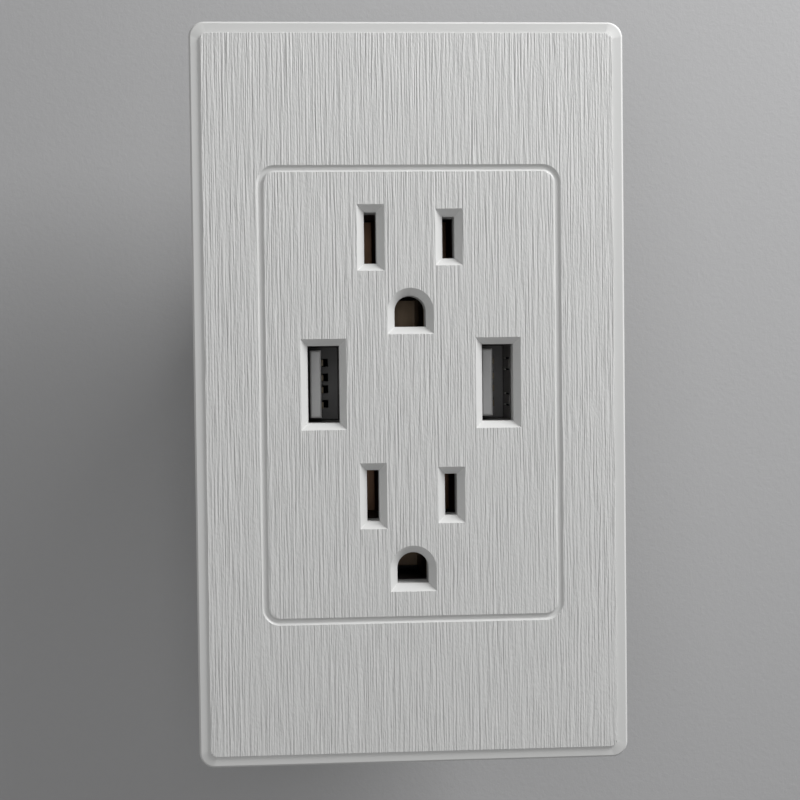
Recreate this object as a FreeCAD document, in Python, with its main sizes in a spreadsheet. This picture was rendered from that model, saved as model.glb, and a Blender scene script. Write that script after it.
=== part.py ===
"""Duplex wall socket with two USB charging ports.

X runs to the right, Z up, and the front faces -Y. The plane y = 0 is the wall: the back edge of
the cover and the back of the mounting frame lie on it, and the body reaches back into the wall box.
"""
import FreeCAD
import Part
import math
import os
import re
import Sketcher

SIZES = {
    # Front cover
    "plate_width": 70.0,
    "plate_height": 120.0,
    "plate_depth": 7.5,
    "plate_corner": 2.5,
    "plate_edge": 0.3,
    "plate_wall": 2.0,
    "face_wall": 2.0,
    "field_inset": 1.85,
    "field_rise": 0.35,
    "field_corner": 1.0,
    "groove_width_x": 49.05,
    "groove_width_z": 74.1,
    "groove_corner": 2.9,
    "groove_top": 1.1,
    "groove_depth": 0.35,
    "groove_floor": 0.5,
    "slot_bevel": 1.2,
    "port_bevel": 1.1,
    "collar_wall": 1.2,
    "slot_wall_depth": 5.5,
    "port_wall_depth": 3.9,
    "rib_wall": 1.2,
    "rib_ring_width": 51.4,
    "rib_ring_height": 76.4,
    "hook_width": 8.0,
    "hook_leg": 1.4,
    "hook_barb": 0.7,
    "hook_height": 36.0,
    "pry_width": 12.0,
    "pry_depth": 1.5,
    # Outlets
    "blade_spacing": 12.7,
    "outlet_pitch": 41.75,
    "upper_outlet": 25.4,
    "ground_drop": 11.9,
    "slot_width": 2.0,
    "neutral_slot": 8.3,
    "line_slot": 6.75,
    "ground_radius": 2.55,
    "ground_flat": 2.5,
    "blade_reach": 18.6,
    "ground_reach": 22.0,
    # Charging ports
    "port_spacing": 28.32,
    "port_height": 1.8,
    "port_width": 5.12,
    "port_length": 12.5,
    "shell_wall": 0.3,
    "shell_depth": 13.3,
    "spring_start": 2.0,
    "spring_end": 8.0,
    "spring_half": 1.1,
    "spring_slit": 0.3,
    "spring_offset": 3.0,
    "tail_start": 4.6,
    "tail_width": 1.8,
    "tongue_inset": 0.6,
    "tongue_gap": 0.37,
    "tongue_width": 1.84,
    "tongue_length": 11.1,
    "tongue_chamfer": 0.25,
    "tongue_reach": 8.75,
    "pin_pitch_outer": 2.5,
    "pin_pitch_inner": 2.0,
    "pin_width": 1.0,
    "pin_thick": 0.3,
    "pin_inset": 0.8,
    "pin_step": 1.2,
    "pin_back": 0.4,
    "pin_foot": 0.7,
    "pin_out": 0.8,
    "pin_window_depth": 1.1,
    "pin_window_half": 0.6,
    # Mounting frame
    "frame_gap": 0.6,
    "frame_depth": 3.0,
    "frame_skin": 1.4,
    "frame_wall": 1.4,
    "frame_corner": 2.5,
    "frame_ledge": 3.4,
    "frame_end_ledge": 2.2,
    "fixing_margin": 6.65,
    "fixing_radius": 2.2,
    "fixing_boss": 6.0,
    "screw_boss": 3.0,
    "screw_boss_rise": 2.2,
    "screw_boss_cap": 0.6,
    # Body
    "body_width": 44.0,
    "body_height": 70.0,
    "body_depth": 27.0,
    "body_corner": 3.0,
    "body_wall": 2.0,
    "screw_inset": 2.7,
    "lid_front": 1.6,
    "lid_back": 0.4,
    "lid_rise": 0.6,
    "lid_rib": 1.5,
    "post_side": 7.4,
    "post_depth": 6.0,
    "fit_gap": 0.2,
    "slide_gap": 0.3,
    "part_gap": 0.1,
    "press_gap": 0.05,
    "overrun": 1.0,
    "rib_half": 0.75,
    "rib_reach": 1.0,
    "rib_side_gap": 0.6,
    "rib_over_terminal": 9.0,
    "rib_over_board": 14.0,
    "rib_under_board": 3.6,
    "rib_over_outlet": 2.6,
    "guide_grip": 1.4,
    # Contacts
    "clip_half": 2.6,
    "clip_metal": 0.7,
    "clip_throat": 0.65,
    "clip_mouth": 1.7,
    "clip_length": 7.2,
    "leaf_root": 1.4,
    "leaf_throat": 6.0,
    "leaf_throat_end": 6.8,
    "leaf_tip": 9.0,
    "strip_metal": 0.8,
    "strip_end": 0.6,
    "well_wall": 1.0,
    "well_end": 10.8,
    "well_side_room": 0.45,
    "well_end_room": 0.8,
    "pin_throat": 2.2,
    "pin_mouth": 2.85,
    "pin_leaf_half": 2.6,
    "pin_leaf_neck": 5.8,
    "pin_leaf_tip": 8.2,
    "ground_strip_half": 2.2,
    "arm_half": 4.0,
    # Terminals
    "terminal_height": 18.0,
    "ground_terminal_height": -19.0,
    "terminal_depth": 19.0,
    "tab_x": 16.8,
    "tab_end_gap": 1.0,
    "recess_half": 5.5,
    "recess_front": 13.5,
    "recess_back": 24.8,
    "plate_thick": 1.2,
    "plate_half_y": 4.1,
    "plate_half_z": 4.9,
    "wire_groove": 1.0,
    "wire_groove_lift": 0.6,
    "wire_offset": 3.7,
    "wire_hole": 1.5,
    "shank_radius": 1.7,
    "shank_end": 12.6,
    "head_radius": 3.9,
    "head_thick": 2.0,
    "head_slot": 1.0,
    # Charger board
    "board_thick": 1.6,
    "board_half": 19.6,
    "board_front": 2.4,
    "board_back": 24.6,
    "core_width": 13.0,
    "core_height": 11.0,
    "core_depth": 5.0,
    "core_leg": 3.4,
    "core_yoke": 1.8,
    "core_y": 20.2,
    "coil_half": 4.1,
    "coil_corner": 1.0,
    "bobbin_wall": 0.5,
    "flange_lip": 0.3,
    "can_gap": 2.0,
    "can_setback": 0.45,
    "input_can": 4.0,
    "input_can_height": 12.0,
    "output_can": 2.5,
    "output_can_height": 9.0,
    "fuse_radius": 1.4,
    "fuse_length": 8.0,
    "fuse_gap": 1.7,
    "feed_metal": 0.5,
    "feed_half": 0.6,
    "feed_reach": 1.9,
    "feed_drop": 2.6,
    "feed_bend": 1.4,
    "feed_rise": 0.6,
    "board_gap": 0.5,
    "chip_x": 6.0,
    "chip_half_x": 2.45,
    "chip_half_y": 1.95,
    "chip_thick": 1.5,
    "mark_radius": 0.35,
    "mark_inset": 0.8,
    "mark_depth": 0.2,
    # Screws
    "screw_radius": 1.3,
    "screw_head": 2.6,
    "screw_head_thick": 1.8,
    "screw_grip": 2.8,
    "drive_depth": 0.8,
    "drive_half": 0.3,
    "drive_inset": 0.7,
}

# Places worked out from the sizes
PLACES = {
    "rim_y": "-plate_depth",
    "field_y": "-(plate_depth + field_rise)",
    "face_back": "rim_y + face_wall",
    "collar_back": "field_y + slot_wall_depth",
    "port_back": "field_y + port_wall_depth",
    "lower_outlet": "upper_outlet - outlet_pitch",
    "upper_ground": "upper_outlet - ground_drop",
    "lower_ground": "lower_outlet - ground_drop",
    "blade_x": "blade_spacing / 2",
    "port_x": "port_spacing / 2",
    "frame_half_x": "plate_width / 2 - plate_wall - frame_gap",
    "frame_half_z": "plate_height / 2 - plate_wall - frame_gap",
    "frame_front": "-frame_depth",
    "hook_x": "frame_half_x - frame_wall - hook_leg - hook_barb - fit_gap * 1.5",
    "skin_back": "frame_skin - frame_depth",
    "body_x": "body_width / 2",
    "body_z": "body_height / 2",
    "cavity_x": "body_x - body_wall",
    "cavity_z": "body_z - body_wall",
    "post_x": "body_x - post_side",
    "post_z": "body_z - post_side",
    "screw_x": "body_x - screw_inset",
    "screw_z": "body_z - screw_inset",
    "fixing_z": "body_z + fixing_margin",
    "post_back": "lid_back + post_depth",
    "lid_top": "-(lid_front + lid_rise)",
    "floor_y": "body_depth - body_wall",
    "shell_front": "port_back + fit_gap",
    "shell_back": "shell_front + shell_depth",
    "shell_x": "port_width / 2 + shell_wall",
    "shell_z": "port_length / 2 + shell_wall",
    "tongue_left": "tongue_gap - port_width / 2",
    "tongue_right": "tongue_left + tongue_width",
    "tongue_front": "shell_front + tongue_inset",
    "block_front": "tongue_front + tongue_reach",
    "block_back": "shell_back - fit_gap",
    "strip_y": "field_y + blade_reach + fit_gap",
    "strip_back": "strip_y + strip_metal",
    "ground_y": "field_y + ground_reach + fit_gap",
    "ground_back": "ground_y + strip_metal",
    "tab_out": "tab_x + strip_metal",
    "recess_floor": "tab_x - part_gap",
    "plate_x": "tab_out + slide_gap",
    "head_x": "plate_x + plate_thick + press_gap",
    "board_top": "port_height - shell_z",
    "board_bottom": "board_top - board_thick",
}

doc = FreeCAD.newDocument("usb_wall_socket")
sheet = doc.addObject("Spreadsheet::Sheet", "Sizes")
for row, (alias, number) in enumerate(SIZES.items(), start=1):
    sheet.set(f"A{row}", alias)
    sheet.set(f"B{row}", str(number))
    sheet.setAlias(f"B{row}", alias)
doc.recompute()

PLANES = {"XZ": ("XZ_Plane", -1), "YZ": ("YZ_Plane", 1), "XY": ("XY_Plane", 1)}
NODES = []


def full(text):
    """An expression on the sheet's cells, from the plain words of a size or place."""
    def cell(found):
        word = found.group()
        if word in PLACES:
            return f"({full(PLACES[word])})"
        return f"Sizes.{word}" if word in SIZES else word
    return re.sub(r"[a-z][a-z_]*", cell, str(text))


def value(text):
    return float(sheet.evalExpression(full(text)))


def bind(thing, prop, text):
    thing.setExpression(prop, full(text))


def node(name):
    """A sub-part of its own, whose label names its file."""
    thing = doc.addObject("PartDesign::Body", name)
    thing.Label = name
    NODES.append(thing)
    return thing


# Outlines in a sketch, with every corner and radius bound to the sheet


def place(sketch, geometry, point, x, y):
    for kind, text in (("DistanceX", x), ("DistanceY", y)):
        index = sketch.addConstraint(Sketcher.Constraint(kind, -1, 1, geometry, point, value(text)))
        bind(sketch, f"Constraints[{index}]", text)


def radius(sketch, geometry, text):
    index = sketch.addConstraint(Sketcher.Constraint("Radius", geometry, value(text)))
    bind(sketch, f"Constraints[{index}]", text)


def outline(*corners):
    """A closed outline of straight runs through the corners."""
    def draw(sketch):
        points = [FreeCAD.Vector(value(x), value(y), 0) for x, y in corners]
        lines = [
            sketch.addGeometry(Part.LineSegment(here, there))
            for here, there in zip(points, points[1:] + points[:1])
        ]
        for number, (x, y) in enumerate(corners):
            sketch.addConstraint(Sketcher.Constraint("Coincident", lines[number - 1], 2, lines[number], 1))
            place(sketch, lines[number], 1, x, y)
    return draw


def box(x, y, half_x, half_y):
    """A rectangle round a centre."""
    left, right, low, high = (
        f"({x}) - ({half_x})", f"({x}) + ({half_x})", f"({y}) - ({half_y})", f"({y}) + ({half_y})"
    )
    return outline((left, low), (right, low), (right, high), (left, high))


def span(x_low, x_high, y_low, y_high):
    """A rectangle between its sides."""
    return outline((x_low, y_low), (x_high, y_low), (x_high, y_high), (x_low, y_high))


def cross(half_x, half_y, cut_x, cut_y):
    """A rectangle whose four corners are cut out squarely, beyond cut_x and cut_y."""
    right = [(half_x, f"-({cut_y})"), (half_x, cut_y), (cut_x, cut_y), (cut_x, half_y)]
    left = [(f"-({x})", y) for x, y in reversed(right)]
    lower = [(f"-({cut_x})", f"-({half_y})"), (cut_x, f"-({half_y})"), (cut_x, f"-({cut_y})")]
    corner = [(f"-({half_x})", f"-({cut_y})"), (f"-({cut_x})", f"-({cut_y})")]
    return outline(*right, *left[:3], *corner, *lower)


def circle(x, y, r):
    def draw(sketch):
        centre = FreeCAD.Vector(value(x), value(y), 0)
        round_ = sketch.addGeometry(Part.Circle(centre, FreeCAD.Vector(0, 0, 1), value(r)))
        place(sketch, round_, 3, x, y)
        radius(sketch, round_, r)
    return draw


def rounded(x, y, half_x, half_y, r):
    """A rectangle with round corners: four arcs joined by four lines."""
    quarter = math.pi / 2

    def draw(sketch):
        arcs = []
        for turn, (sx, sy) in enumerate((("+", "+"), ("-", "+"), ("-", "-"), ("+", "-"))):
            cx = f"({x}) {sx} (({half_x}) - ({r}))"
            cy = f"({y}) {sy} (({half_y}) - ({r}))"
            centre = FreeCAD.Vector(value(cx), value(cy), 0)
            ring = Part.Circle(centre, FreeCAD.Vector(0, 0, 1), value(r))
            arc = sketch.addGeometry(Part.ArcOfCircle(ring, turn * quarter, (turn + 1) * quarter))
            place(sketch, arc, 3, cx, cy)
            radius(sketch, arc, r)
            level, upright = ("Horizontal", "Vertical") if turn % 2 == 0 else ("Vertical", "Horizontal")
            sketch.addConstraint(Sketcher.Constraint(level, arc, 1, arc, 3))
            sketch.addConstraint(Sketcher.Constraint(upright, arc, 2, arc, 3))
            arcs.append(arc)
        for before, after in zip(arcs, arcs[1:] + arcs[:1]):
            run = Part.LineSegment(sketch.getPoint(before, 2), sketch.getPoint(after, 1))
            line = sketch.addGeometry(run)
            sketch.addConstraint(Sketcher.Constraint("Coincident", before, 2, line, 1))
            sketch.addConstraint(Sketcher.Constraint("Coincident", line, 2, after, 1))
    return draw


def ground_hole(x, y, r, flat):
    """The hole for a ground pin: a half circle on top and a flat foot."""
    def draw(sketch):
        centre = FreeCAD.Vector(value(x), value(y), 0)
        ring = Part.Circle(centre, FreeCAD.Vector(0, 0, 1), value(r))
        arch = sketch.addGeometry(Part.ArcOfCircle(ring, 0, math.pi))
        place(sketch, arch, 3, x, y)
        radius(sketch, arch, r)
        sketch.addConstraint(Sketcher.Constraint("Horizontal", arch, 1, arch, 3))
        sketch.addConstraint(Sketcher.Constraint("Horizontal", arch, 2, arch, 3))
        foot = centre.y - value(flat)
        corners = [
            sketch.getPoint(arch, 2),
            FreeCAD.Vector(centre.x - ring.Radius, foot, 0),
            FreeCAD.Vector(centre.x + ring.Radius, foot, 0),
            sketch.getPoint(arch, 1),
        ]
        sides = [sketch.addGeometry(Part.LineSegment(a, b)) for a, b in zip(corners, corners[1:])]
        sketch.addConstraint(Sketcher.Constraint("Coincident", arch, 2, sides[0], 1))
        sketch.addConstraint(Sketcher.Constraint("Coincident", sides[0], 2, sides[1], 1))
        sketch.addConstraint(Sketcher.Constraint("Coincident", sides[1], 2, sides[2], 1))
        sketch.addConstraint(Sketcher.Constraint("Coincident", sides[2], 2, arch, 1))
        sketch.addConstraint(Sketcher.Constraint("Vertical", sides[0]))
        sketch.addConstraint(Sketcher.Constraint("Vertical", sides[2]))
        sketch.addConstraint(Sketcher.Constraint("Horizontal", sides[1]))
        index = sketch.addConstraint(Sketcher.Constraint("DistanceY", -1, 1, sides[1], 1, foot))
        bind(sketch, f"Constraints[{index}]", f"({y}) - ({flat})")
    return draw


def across(side, low, high):
    """Two stations on the plus or minus side of the middle, in rising order."""
    return (low, high) if side == "" else (f"-({high})", f"-({low})")


# Features between two stations along the axis that a plane faces


def sketch_at(body, name, plane, station, *draws):
    role, sign = PLANES[plane]
    sketch = body.newObject("Sketcher::SketchObject", f"{name}_outline")
    sketch.AttachmentSupport = [(next(o for o in body.Origin.OriginFeatures if o.Role == role), "")]
    sketch.MapMode = "FlatFace"
    bind(sketch, "AttachmentOffset.Base.z", f"{sign} * ({station})")
    for draw in draws:
        draw(sketch)
    return sketch


def add(body, name, plane, low, high, *draws, slope=None):
    """Material inside the outlines, from low to high."""
    start = low if PLANES[plane][1] > 0 else high
    pad = body.newObject("PartDesign::Pad", name)
    pad.Profile = sketch_at(body, name, plane, start, *draws)
    bind(pad, "Length", f"({high}) - ({low})")
    if slope:
        bind(pad, "TaperAngle", slope)
    return pad


def cut(body, name, plane, low, high, *draws, slope=None):
    """The outlines cut away from low to high."""
    start = high if PLANES[plane][1] > 0 else low
    pocket = body.newObject("PartDesign::Pocket", name)
    pocket.Profile = sketch_at(body, name, plane, start, *draws)
    bind(pocket, "Length", f"({high}) - ({low})")
    if slope:
        bind(pocket, "TaperAngle", slope)
    return pocket


def turn(body, name, plane, station, x, y, profile, axis):
    """A profile turned about a line through x, y along the sketch's own first or second axis."""
    sketch = sketch_at(body, name, plane, station, profile)
    bind(sketch, "AttachmentOffset.Base.x", x)
    bind(sketch, "AttachmentOffset.Base.y", y)
    revolution = body.newObject("PartDesign::Revolution", name)
    revolution.Profile = sketch
    revolution.ReferenceAxis = (sketch, [axis])
    revolution.Angle = 360


def repeat(body, name, features, axis_role, length):
    """The features once more, a length away along an axis of the body."""
    pattern = body.newObject("PartDesign::LinearPattern", name)
    pattern.Originals = features
    axis = next(o for o in body.Origin.OriginFeatures if o.Role == axis_role)
    pattern.Direction = (axis, [""])
    pattern.Reversed = True
    bind(pattern, "Length", length)
    pattern.Occurrences = 2
    body.Tip = pattern


def edges(feature, wanted):
    """The names of the feature's edges that a test on their two ends and middle picks."""
    doc.recompute()
    names = []
    for number, edge in enumerate(feature.Shape.Edges, start=1):
        middle = edge.valueAt((edge.FirstParameter + edge.LastParameter) / 2)
        ends = [v.Point for v in edge.Vertexes]
        if all(wanted(point) for point in [middle, *ends]):
            names.append(f"Edge{number}")
    return names


def chamfer(body, name, feature, size, wanted):
    """A chamfer on the edges that the test picks."""
    edge_break = body.newObject("PartDesign::Chamfer", name)
    edge_break.Base = (feature, edges(feature, wanted))
    bind(edge_break, "Size", size)
    return edge_break


def near(number, text):
    same = 1e-5
    return abs(number - value(text)) < same


# The eight openings in the face, widened all round by a margin


def blade_slots(grow):
    slots = []
    for height in ("upper_outlet", "lower_outlet"):
        slots.append(box("-(blade_x)", height, f"slot_width / 2 + {grow}", f"neutral_slot / 2 + {grow}"))
        slots.append(box("blade_x", height, f"slot_width / 2 + {grow}", f"line_slot / 2 + {grow}"))
    return slots


def ground_holes(grow):
    return [
        ground_hole("0", height, f"ground_radius + {grow}", f"ground_flat + {grow}")
        for height in ("upper_ground", "lower_ground")
    ]


def ports(grow):
    return [
        box(x, "port_height", f"port_width / 2 + {grow}", f"port_length / 2 + {grow}")
        for x in ("-(port_x)", "port_x")
    ]


# Front cover: one moulding with a raised field, a groove, bevelled openings and snap hooks


GROOVE_SLOPE = "-atan((groove_top - groove_floor) / 2 / groove_depth)"


def front_cover():
    body = node("front_cover")
    shell = add(
        body, "plate", "XZ", "rim_y", "0",
        rounded("0", "0", "plate_width / 2", "plate_height / 2", "plate_corner"),
    )
    chamfer(body, "plate_edge_break", shell, "plate_edge", lambda p: near(p.y, "rim_y"))
    add(
        body, "field", "XZ", "field_y", "rim_y + face_wall / 2",
        rounded("0", "0", "plate_width / 2 - field_inset", "plate_height / 2 - field_inset", "field_corner"),
    )
    cut(
        body, "groove", "XZ", "field_y", "field_y + groove_depth",
        rounded("0", "0", "groove_width_x / 2", "groove_width_z / 2", "groove_corner"),
        slope=GROOVE_SLOPE,
    )
    inset = "(groove_top + groove_floor) / 2"
    add(
        body, "panel", "XZ", "field_y", "field_y + groove_depth",
        rounded(
            "0", "0", f"groove_width_x / 2 - {inset}", f"groove_width_z / 2 - {inset}",
            f"groove_corner - {inset}",
        ),
        slope=GROOVE_SLOPE,
    )
    cut(
        body, "hollow", "XZ", "face_back", "0",
        box("0", "0", "plate_width / 2 - plate_wall", "plate_height / 2 - plate_wall"),
    )
    root = "face_back - face_wall / 2"
    add(body, "slot_collars", "XZ", root, "collar_back", *blade_slots("collar_wall"))
    add(body, "ground_collars", "XZ", root, "collar_back", *ground_holes("collar_wall"))
    add(body, "port_collars", "XZ", root, "port_back", *ports("collar_wall"))
    add(
        body, "support_rib", "XZ", root, "frame_front - fit_gap",
        box("0", "0", "rib_ring_width / 2", "rib_ring_height / 2"),
        box("0", "0", "rib_ring_width / 2 - rib_wall", "rib_ring_height / 2 - rib_wall"),
    )
    openings = cut(
        body, "openings", "XZ", "field_y", "collar_back",
        *blade_slots("0"), *ground_holes("0"), *ports("0"),
    )
    between = value("blade_x + slot_width + slot_bevel")
    beyond = value("port_x + port_width")
    bevelled = chamfer(
        body, "slot_bevels", openings, "slot_bevel",
        lambda p: near(p.y, "field_y") and abs(p.x) < between,
    )
    chamfer(
        body, "port_bevels", bevelled, "port_bevel",
        lambda p: near(p.y, "field_y") and between < abs(p.x) < beyond,
    )
    for side in ("", "-"):
        for level in ("upper", "lower"):
            height = "hook_height" if level == "upper" else "-hook_height"
            profile = outline(
                (f"{side}(hook_x)", root),
                (f"{side}(hook_x + hook_leg)", root),
                (f"{side}(hook_x + hook_leg)", "skin_back + fit_gap"),
                (f"{side}(hook_x + hook_leg + hook_barb)", "skin_back + fit_gap"),
                (f"{side}(hook_x + hook_leg)", "-fit_gap * 2"),
                (f"{side}(hook_x)", "-fit_gap * 2"),
            )
            name = f"hook_{'left' if side else 'right'}_{level}"
            add(body, name, "XY", f"{height} - hook_width / 2", f"{height} + hook_width / 2", profile)
    cut(
        body, "pry_notch", "XZ", "-pry_depth", "0",
        box("0", "-(plate_height / 2 - plate_wall / 2)", "pry_width / 2", "plate_wall / 2 + part_gap"),
    )


# Mounting frame: the moulding that is screwed to the wall box and carries cover and body


def mounting_frame():
    body = node("mounting_frame")
    add(
        body, "frame_plate", "XZ", "frame_front", "0",
        rounded("0", "0", "frame_half_x", "frame_half_z", "frame_corner"),
    )
    cut(
        body, "frame_hollow", "XZ", "skin_back", "0",
        box("0", "0", "frame_half_x - frame_wall", "frame_half_z - frame_wall"),
        box("0", "0", "body_x + fit_gap + frame_wall", "body_z + fit_gap + frame_wall"),
    )
    cut(
        body, "body_seat", "XZ", "skin_back", "0",
        box("0", "0", "body_x + fit_gap", "body_z + fit_gap"),
    )
    for level, sign in (("upper", ""), ("lower", "-")):
        height = f"{sign}(fixing_z)"
        boss = box("0", height, "fixing_boss", "fixing_boss")
        add(body, f"fixing_boss_{level}", "XZ", "skin_back", "0", boss)
        add(
            body, f"fixing_rib_{level}", "XZ", "skin_back", "0",
            box("0", height, "frame_half_x - frame_wall / 2", "rib_wall / 2"),
        )
        ends = across(sign, "body_z + frame_wall", "frame_half_z - frame_wall / 2")
        add(
            body, f"end_ribs_{level}", "XZ", "skin_back", "0",
            *[
                span(f"{x} - rib_wall / 2", f"{x} + rib_wall / 2", *ends)
                for x in ("-(body_x / 2)", "body_x / 2")
            ],
        )
    corners = [(x, z) for x in ("screw_x", "-(screw_x)") for z in ("screw_z", "-(screw_z)")]
    add(
        body, "screw_bosses", "XZ", "frame_front - screw_boss_rise", "skin_back",
        *[box(x, z, "screw_boss", "screw_boss") for x, z in corners],
    )
    cut(
        body, "body_window", "XZ", "frame_front", "skin_back",
        cross("body_x - frame_ledge", "body_z - frame_end_ledge", "post_x + fit_gap", "post_z + fit_gap"),
    )
    cut(
        body, "pilot_holes", "XZ", "frame_front - screw_boss_rise + screw_boss_cap", "skin_back",
        *[circle(x, z, "screw_radius + press_gap") for x, z in corners],
    )
    cut(
        body, "fixing_holes", "XZ", "frame_front", "0",
        circle("0", "fixing_z", "fixing_radius"),
        circle("0", "-(fixing_z)", "fixing_radius"),
    )
    windows = [
        span(
            *across(side, "hook_x - fit_gap", "hook_x + hook_leg + fit_gap"),
            f"{height} - hook_width / 2 - fit_gap", f"{height} + hook_width / 2 + fit_gap",
        )
        for side in ("", "-")
        for height in ("hook_height", "-hook_height")
    ]
    cut(body, "hook_windows", "XZ", "frame_front", "skin_back", *windows)


# Inner lid: closes the body and guides the pins into the contacts


def contact_cover():
    body = node("contact_cover")
    add(
        body, "lid", "XZ", "-lid_front", "lid_back",
        rounded("0", "0", "body_x", "body_z", "body_corner"),
    )
    add(
        body, "platform", "XZ", "lid_top", "-lid_front / 2",
        cross(
            "body_x - frame_ledge - fit_gap", "body_z - frame_end_ledge - fit_gap",
            "post_x", "post_z",
        ),
    )
    add(
        body, "locating_rib", "XZ", "0", "lid_back + lid_rib",
        cross("cavity_x - fit_gap", "cavity_z - fit_gap", "post_x - fit_gap", "post_z - fit_gap"),
        cross(
            "cavity_x - fit_gap - rib_wall", "cavity_z - fit_gap - rib_wall",
            "post_x - fit_gap - rib_wall", "post_z - fit_gap - rib_wall",
        ),
    )
    wells = [(x, z) for x in ("-(blade_x)", "blade_x") for z in ("upper_outlet", "lower_outlet")]
    inner_x = "clip_half + well_side_room"
    inner_z = "clip_length / 2 + well_end_room"
    add(
        body, "blade_wells", "XZ", "0", "well_end",
        *[box(x, z, f"{inner_x} + well_wall", f"{inner_z} + well_wall") for x, z in wells],
    )
    grounds = ("upper_ground", "lower_ground")
    room = "pin_mouth + clip_metal + part_gap"
    wall = f"{room} + part_gap + well_wall / 2"
    add(body, "ground_wells", "XZ", "0", "well_end", *[box("0", z, wall, wall) for z in grounds])
    cut(
        body, "chambers", "XZ", "lid_back", "well_end",
        *[box(x, z, inner_x, inner_z) for x, z in wells],
        *[box("0", z, room, room) for z in grounds],
    )
    cut(
        body, "entries", "XZ", "lid_top", "lid_back",
        *blade_slots("fit_gap"), *ground_holes("fit_gap"), *ports("shell_wall + fit_gap"),
    )
    corners = [(x, z) for x in ("screw_x", "-(screw_x)") for z in ("screw_z", "-(screw_z)")]
    cut(
        body, "screw_holes", "XZ", "-lid_front", "lid_back",
        *[circle(x, z, "screw_radius + fit_gap") for x, z in corners],
    )


# Terminals: the same chamber, tab, clamp plate and screw three times


TERMINALS = {
    "line": ("", "terminal_height"),
    "neutral": ("-", "terminal_height"),
    "ground": ("-", "ground_terminal_height"),
}


# Rear housing: the box behind the wall


def rear_housing():
    body = node("rear_housing")
    add(
        body, "housing_block", "XZ", "lid_back", "body_depth",
        rounded("0", "0", "body_x", "body_z", "body_corner"),
    )
    cut(body, "cavity", "XZ", "lid_back", "floor_y", cross("cavity_x", "cavity_z", "post_x", "post_z"))
    notches = [
        span(*across(side, "post_x + body_wall", "body_x + overrun"),
             *across(level, "post_z + body_wall", "body_z + overrun"))
        for side in ("", "-")
        for level in ("", "-")
    ]
    cut(body, "corner_notches", "XZ", "post_back", "body_depth", *notches)
    corners = [(x, z) for x in ("screw_x", "-(screw_x)") for z in ("screw_z", "-(screw_z)")]
    cut(
        body, "screw_passages", "XZ", "lid_back", "post_back",
        *[circle(x, z, "screw_radius + fit_gap") for x, z in corners],
    )
    for name, (side, height) in TERMINALS.items():
        wall = "recess_half + rib_wall"
        add(
            body, f"{name}_chamber", "XZ", "recess_front - rib_wall", "floor_y + body_wall / 2",
            span(*across(side, "recess_floor - rib_wall", "cavity_x + body_wall / 2"),
                 f"{height} - ({wall})", f"{height} + {wall}"),
        )
    cut(
        body, "recesses", "XZ", "recess_front", "recess_back",
        *[
            span(*across(side, "recess_floor", "body_x + overrun"),
                 f"{height} - recess_half", f"{height} + recess_half")
            for side, height in TERMINALS.values()
        ],
    )
    cut(
        body, "tab_slots", "XZ", "recess_front - rib_wall", "recess_front",
        *[
            span(*across(side, "recess_floor", "tab_out + fit_gap"),
                 f"{height} - arm_half - fit_gap", f"{height} + arm_half + fit_gap")
            for side, height in TERMINALS.values()
        ],
    )
    side, height = TERMINALS["ground"]
    cut(
        body, "ground_arm_slot", "XZ", "recess_front - rib_wall", "ground_back + fit_gap / 2",
        span(*across(side, "recess_floor - rib_wall", "recess_floor"),
             f"{height} - arm_half - fit_gap", f"{height} + arm_half + fit_gap"),
    )
    for name, (side, height) in TERMINALS.items():
        cut(
            body, f"{name}_shank_hole", "YZ", *across(side, "recess_floor - rib_wall", "recess_floor"),
            box("terminal_depth", height, "shank_radius + fit_gap * 2", "shank_radius + fit_gap * 2"),
        )
    cut(
        body, "wire_holes", "XZ", "floor_y - slide_gap", "body_depth",
        *[
            circle(f"{side}(tab_out + wire_hole - fit_gap)", f"{height} {sign} wire_offset", "wire_hole")
            for side, height in TERMINALS.values()
            for sign in ("+", "-")
        ],
    )
    ribs = {
        "top": "terminal_height + rib_over_terminal",
        "middle": "board_top + rib_over_board",
        "under_board": "board_bottom - rib_under_board",
        "low": "lower_outlet + rib_over_outlet",
    }
    near_side = "ground_strip_half + rib_side_gap"
    far_side = "blade_x + clip_half + rib_reach"
    for name, height in ribs.items():
        add(
            body, f"contact_rib_{name}", "XZ", "strip_back + fit_gap / 2", "floor_y + body_wall / 2",
            span(f"-({far_side})", f"-({near_side})", f"{height} - rib_half", f"{height} + rib_half"),
            span(near_side, far_side, f"{height} - rib_half", f"{height} + rib_half"),
        )
        add(
            body, f"ground_rib_{name}", "XZ", "ground_back + fit_gap / 2", "floor_y + body_wall / 2",
            box("0", height, "ground_strip_half + rib_reach", "rib_half"),
        )
    add(
        body, "ground_rib_bottom", "XZ", "ground_back + fit_gap / 2", "floor_y + body_wall / 2",
        box("0", "lower_ground", "ground_strip_half + rib_reach", "rib_half"),
    )
    guides = {"under": "board_bottom - part_gap - rib_wall", "over": "board_top + part_gap"}
    for name, low in guides.items():
        add(
            body, f"board_guides_{name}", "XZ", "post_back", "floor_y + body_wall / 2",
            *[
                span(*across(side, "board_half - guide_grip", "cavity_x + body_wall / 2"),
                     low, f"{low} + rib_wall")
                for side in ("", "-")
            ],
        )


# Contacts: folded strips with a pair of sprung leaves for each blade and ground pin


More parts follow.
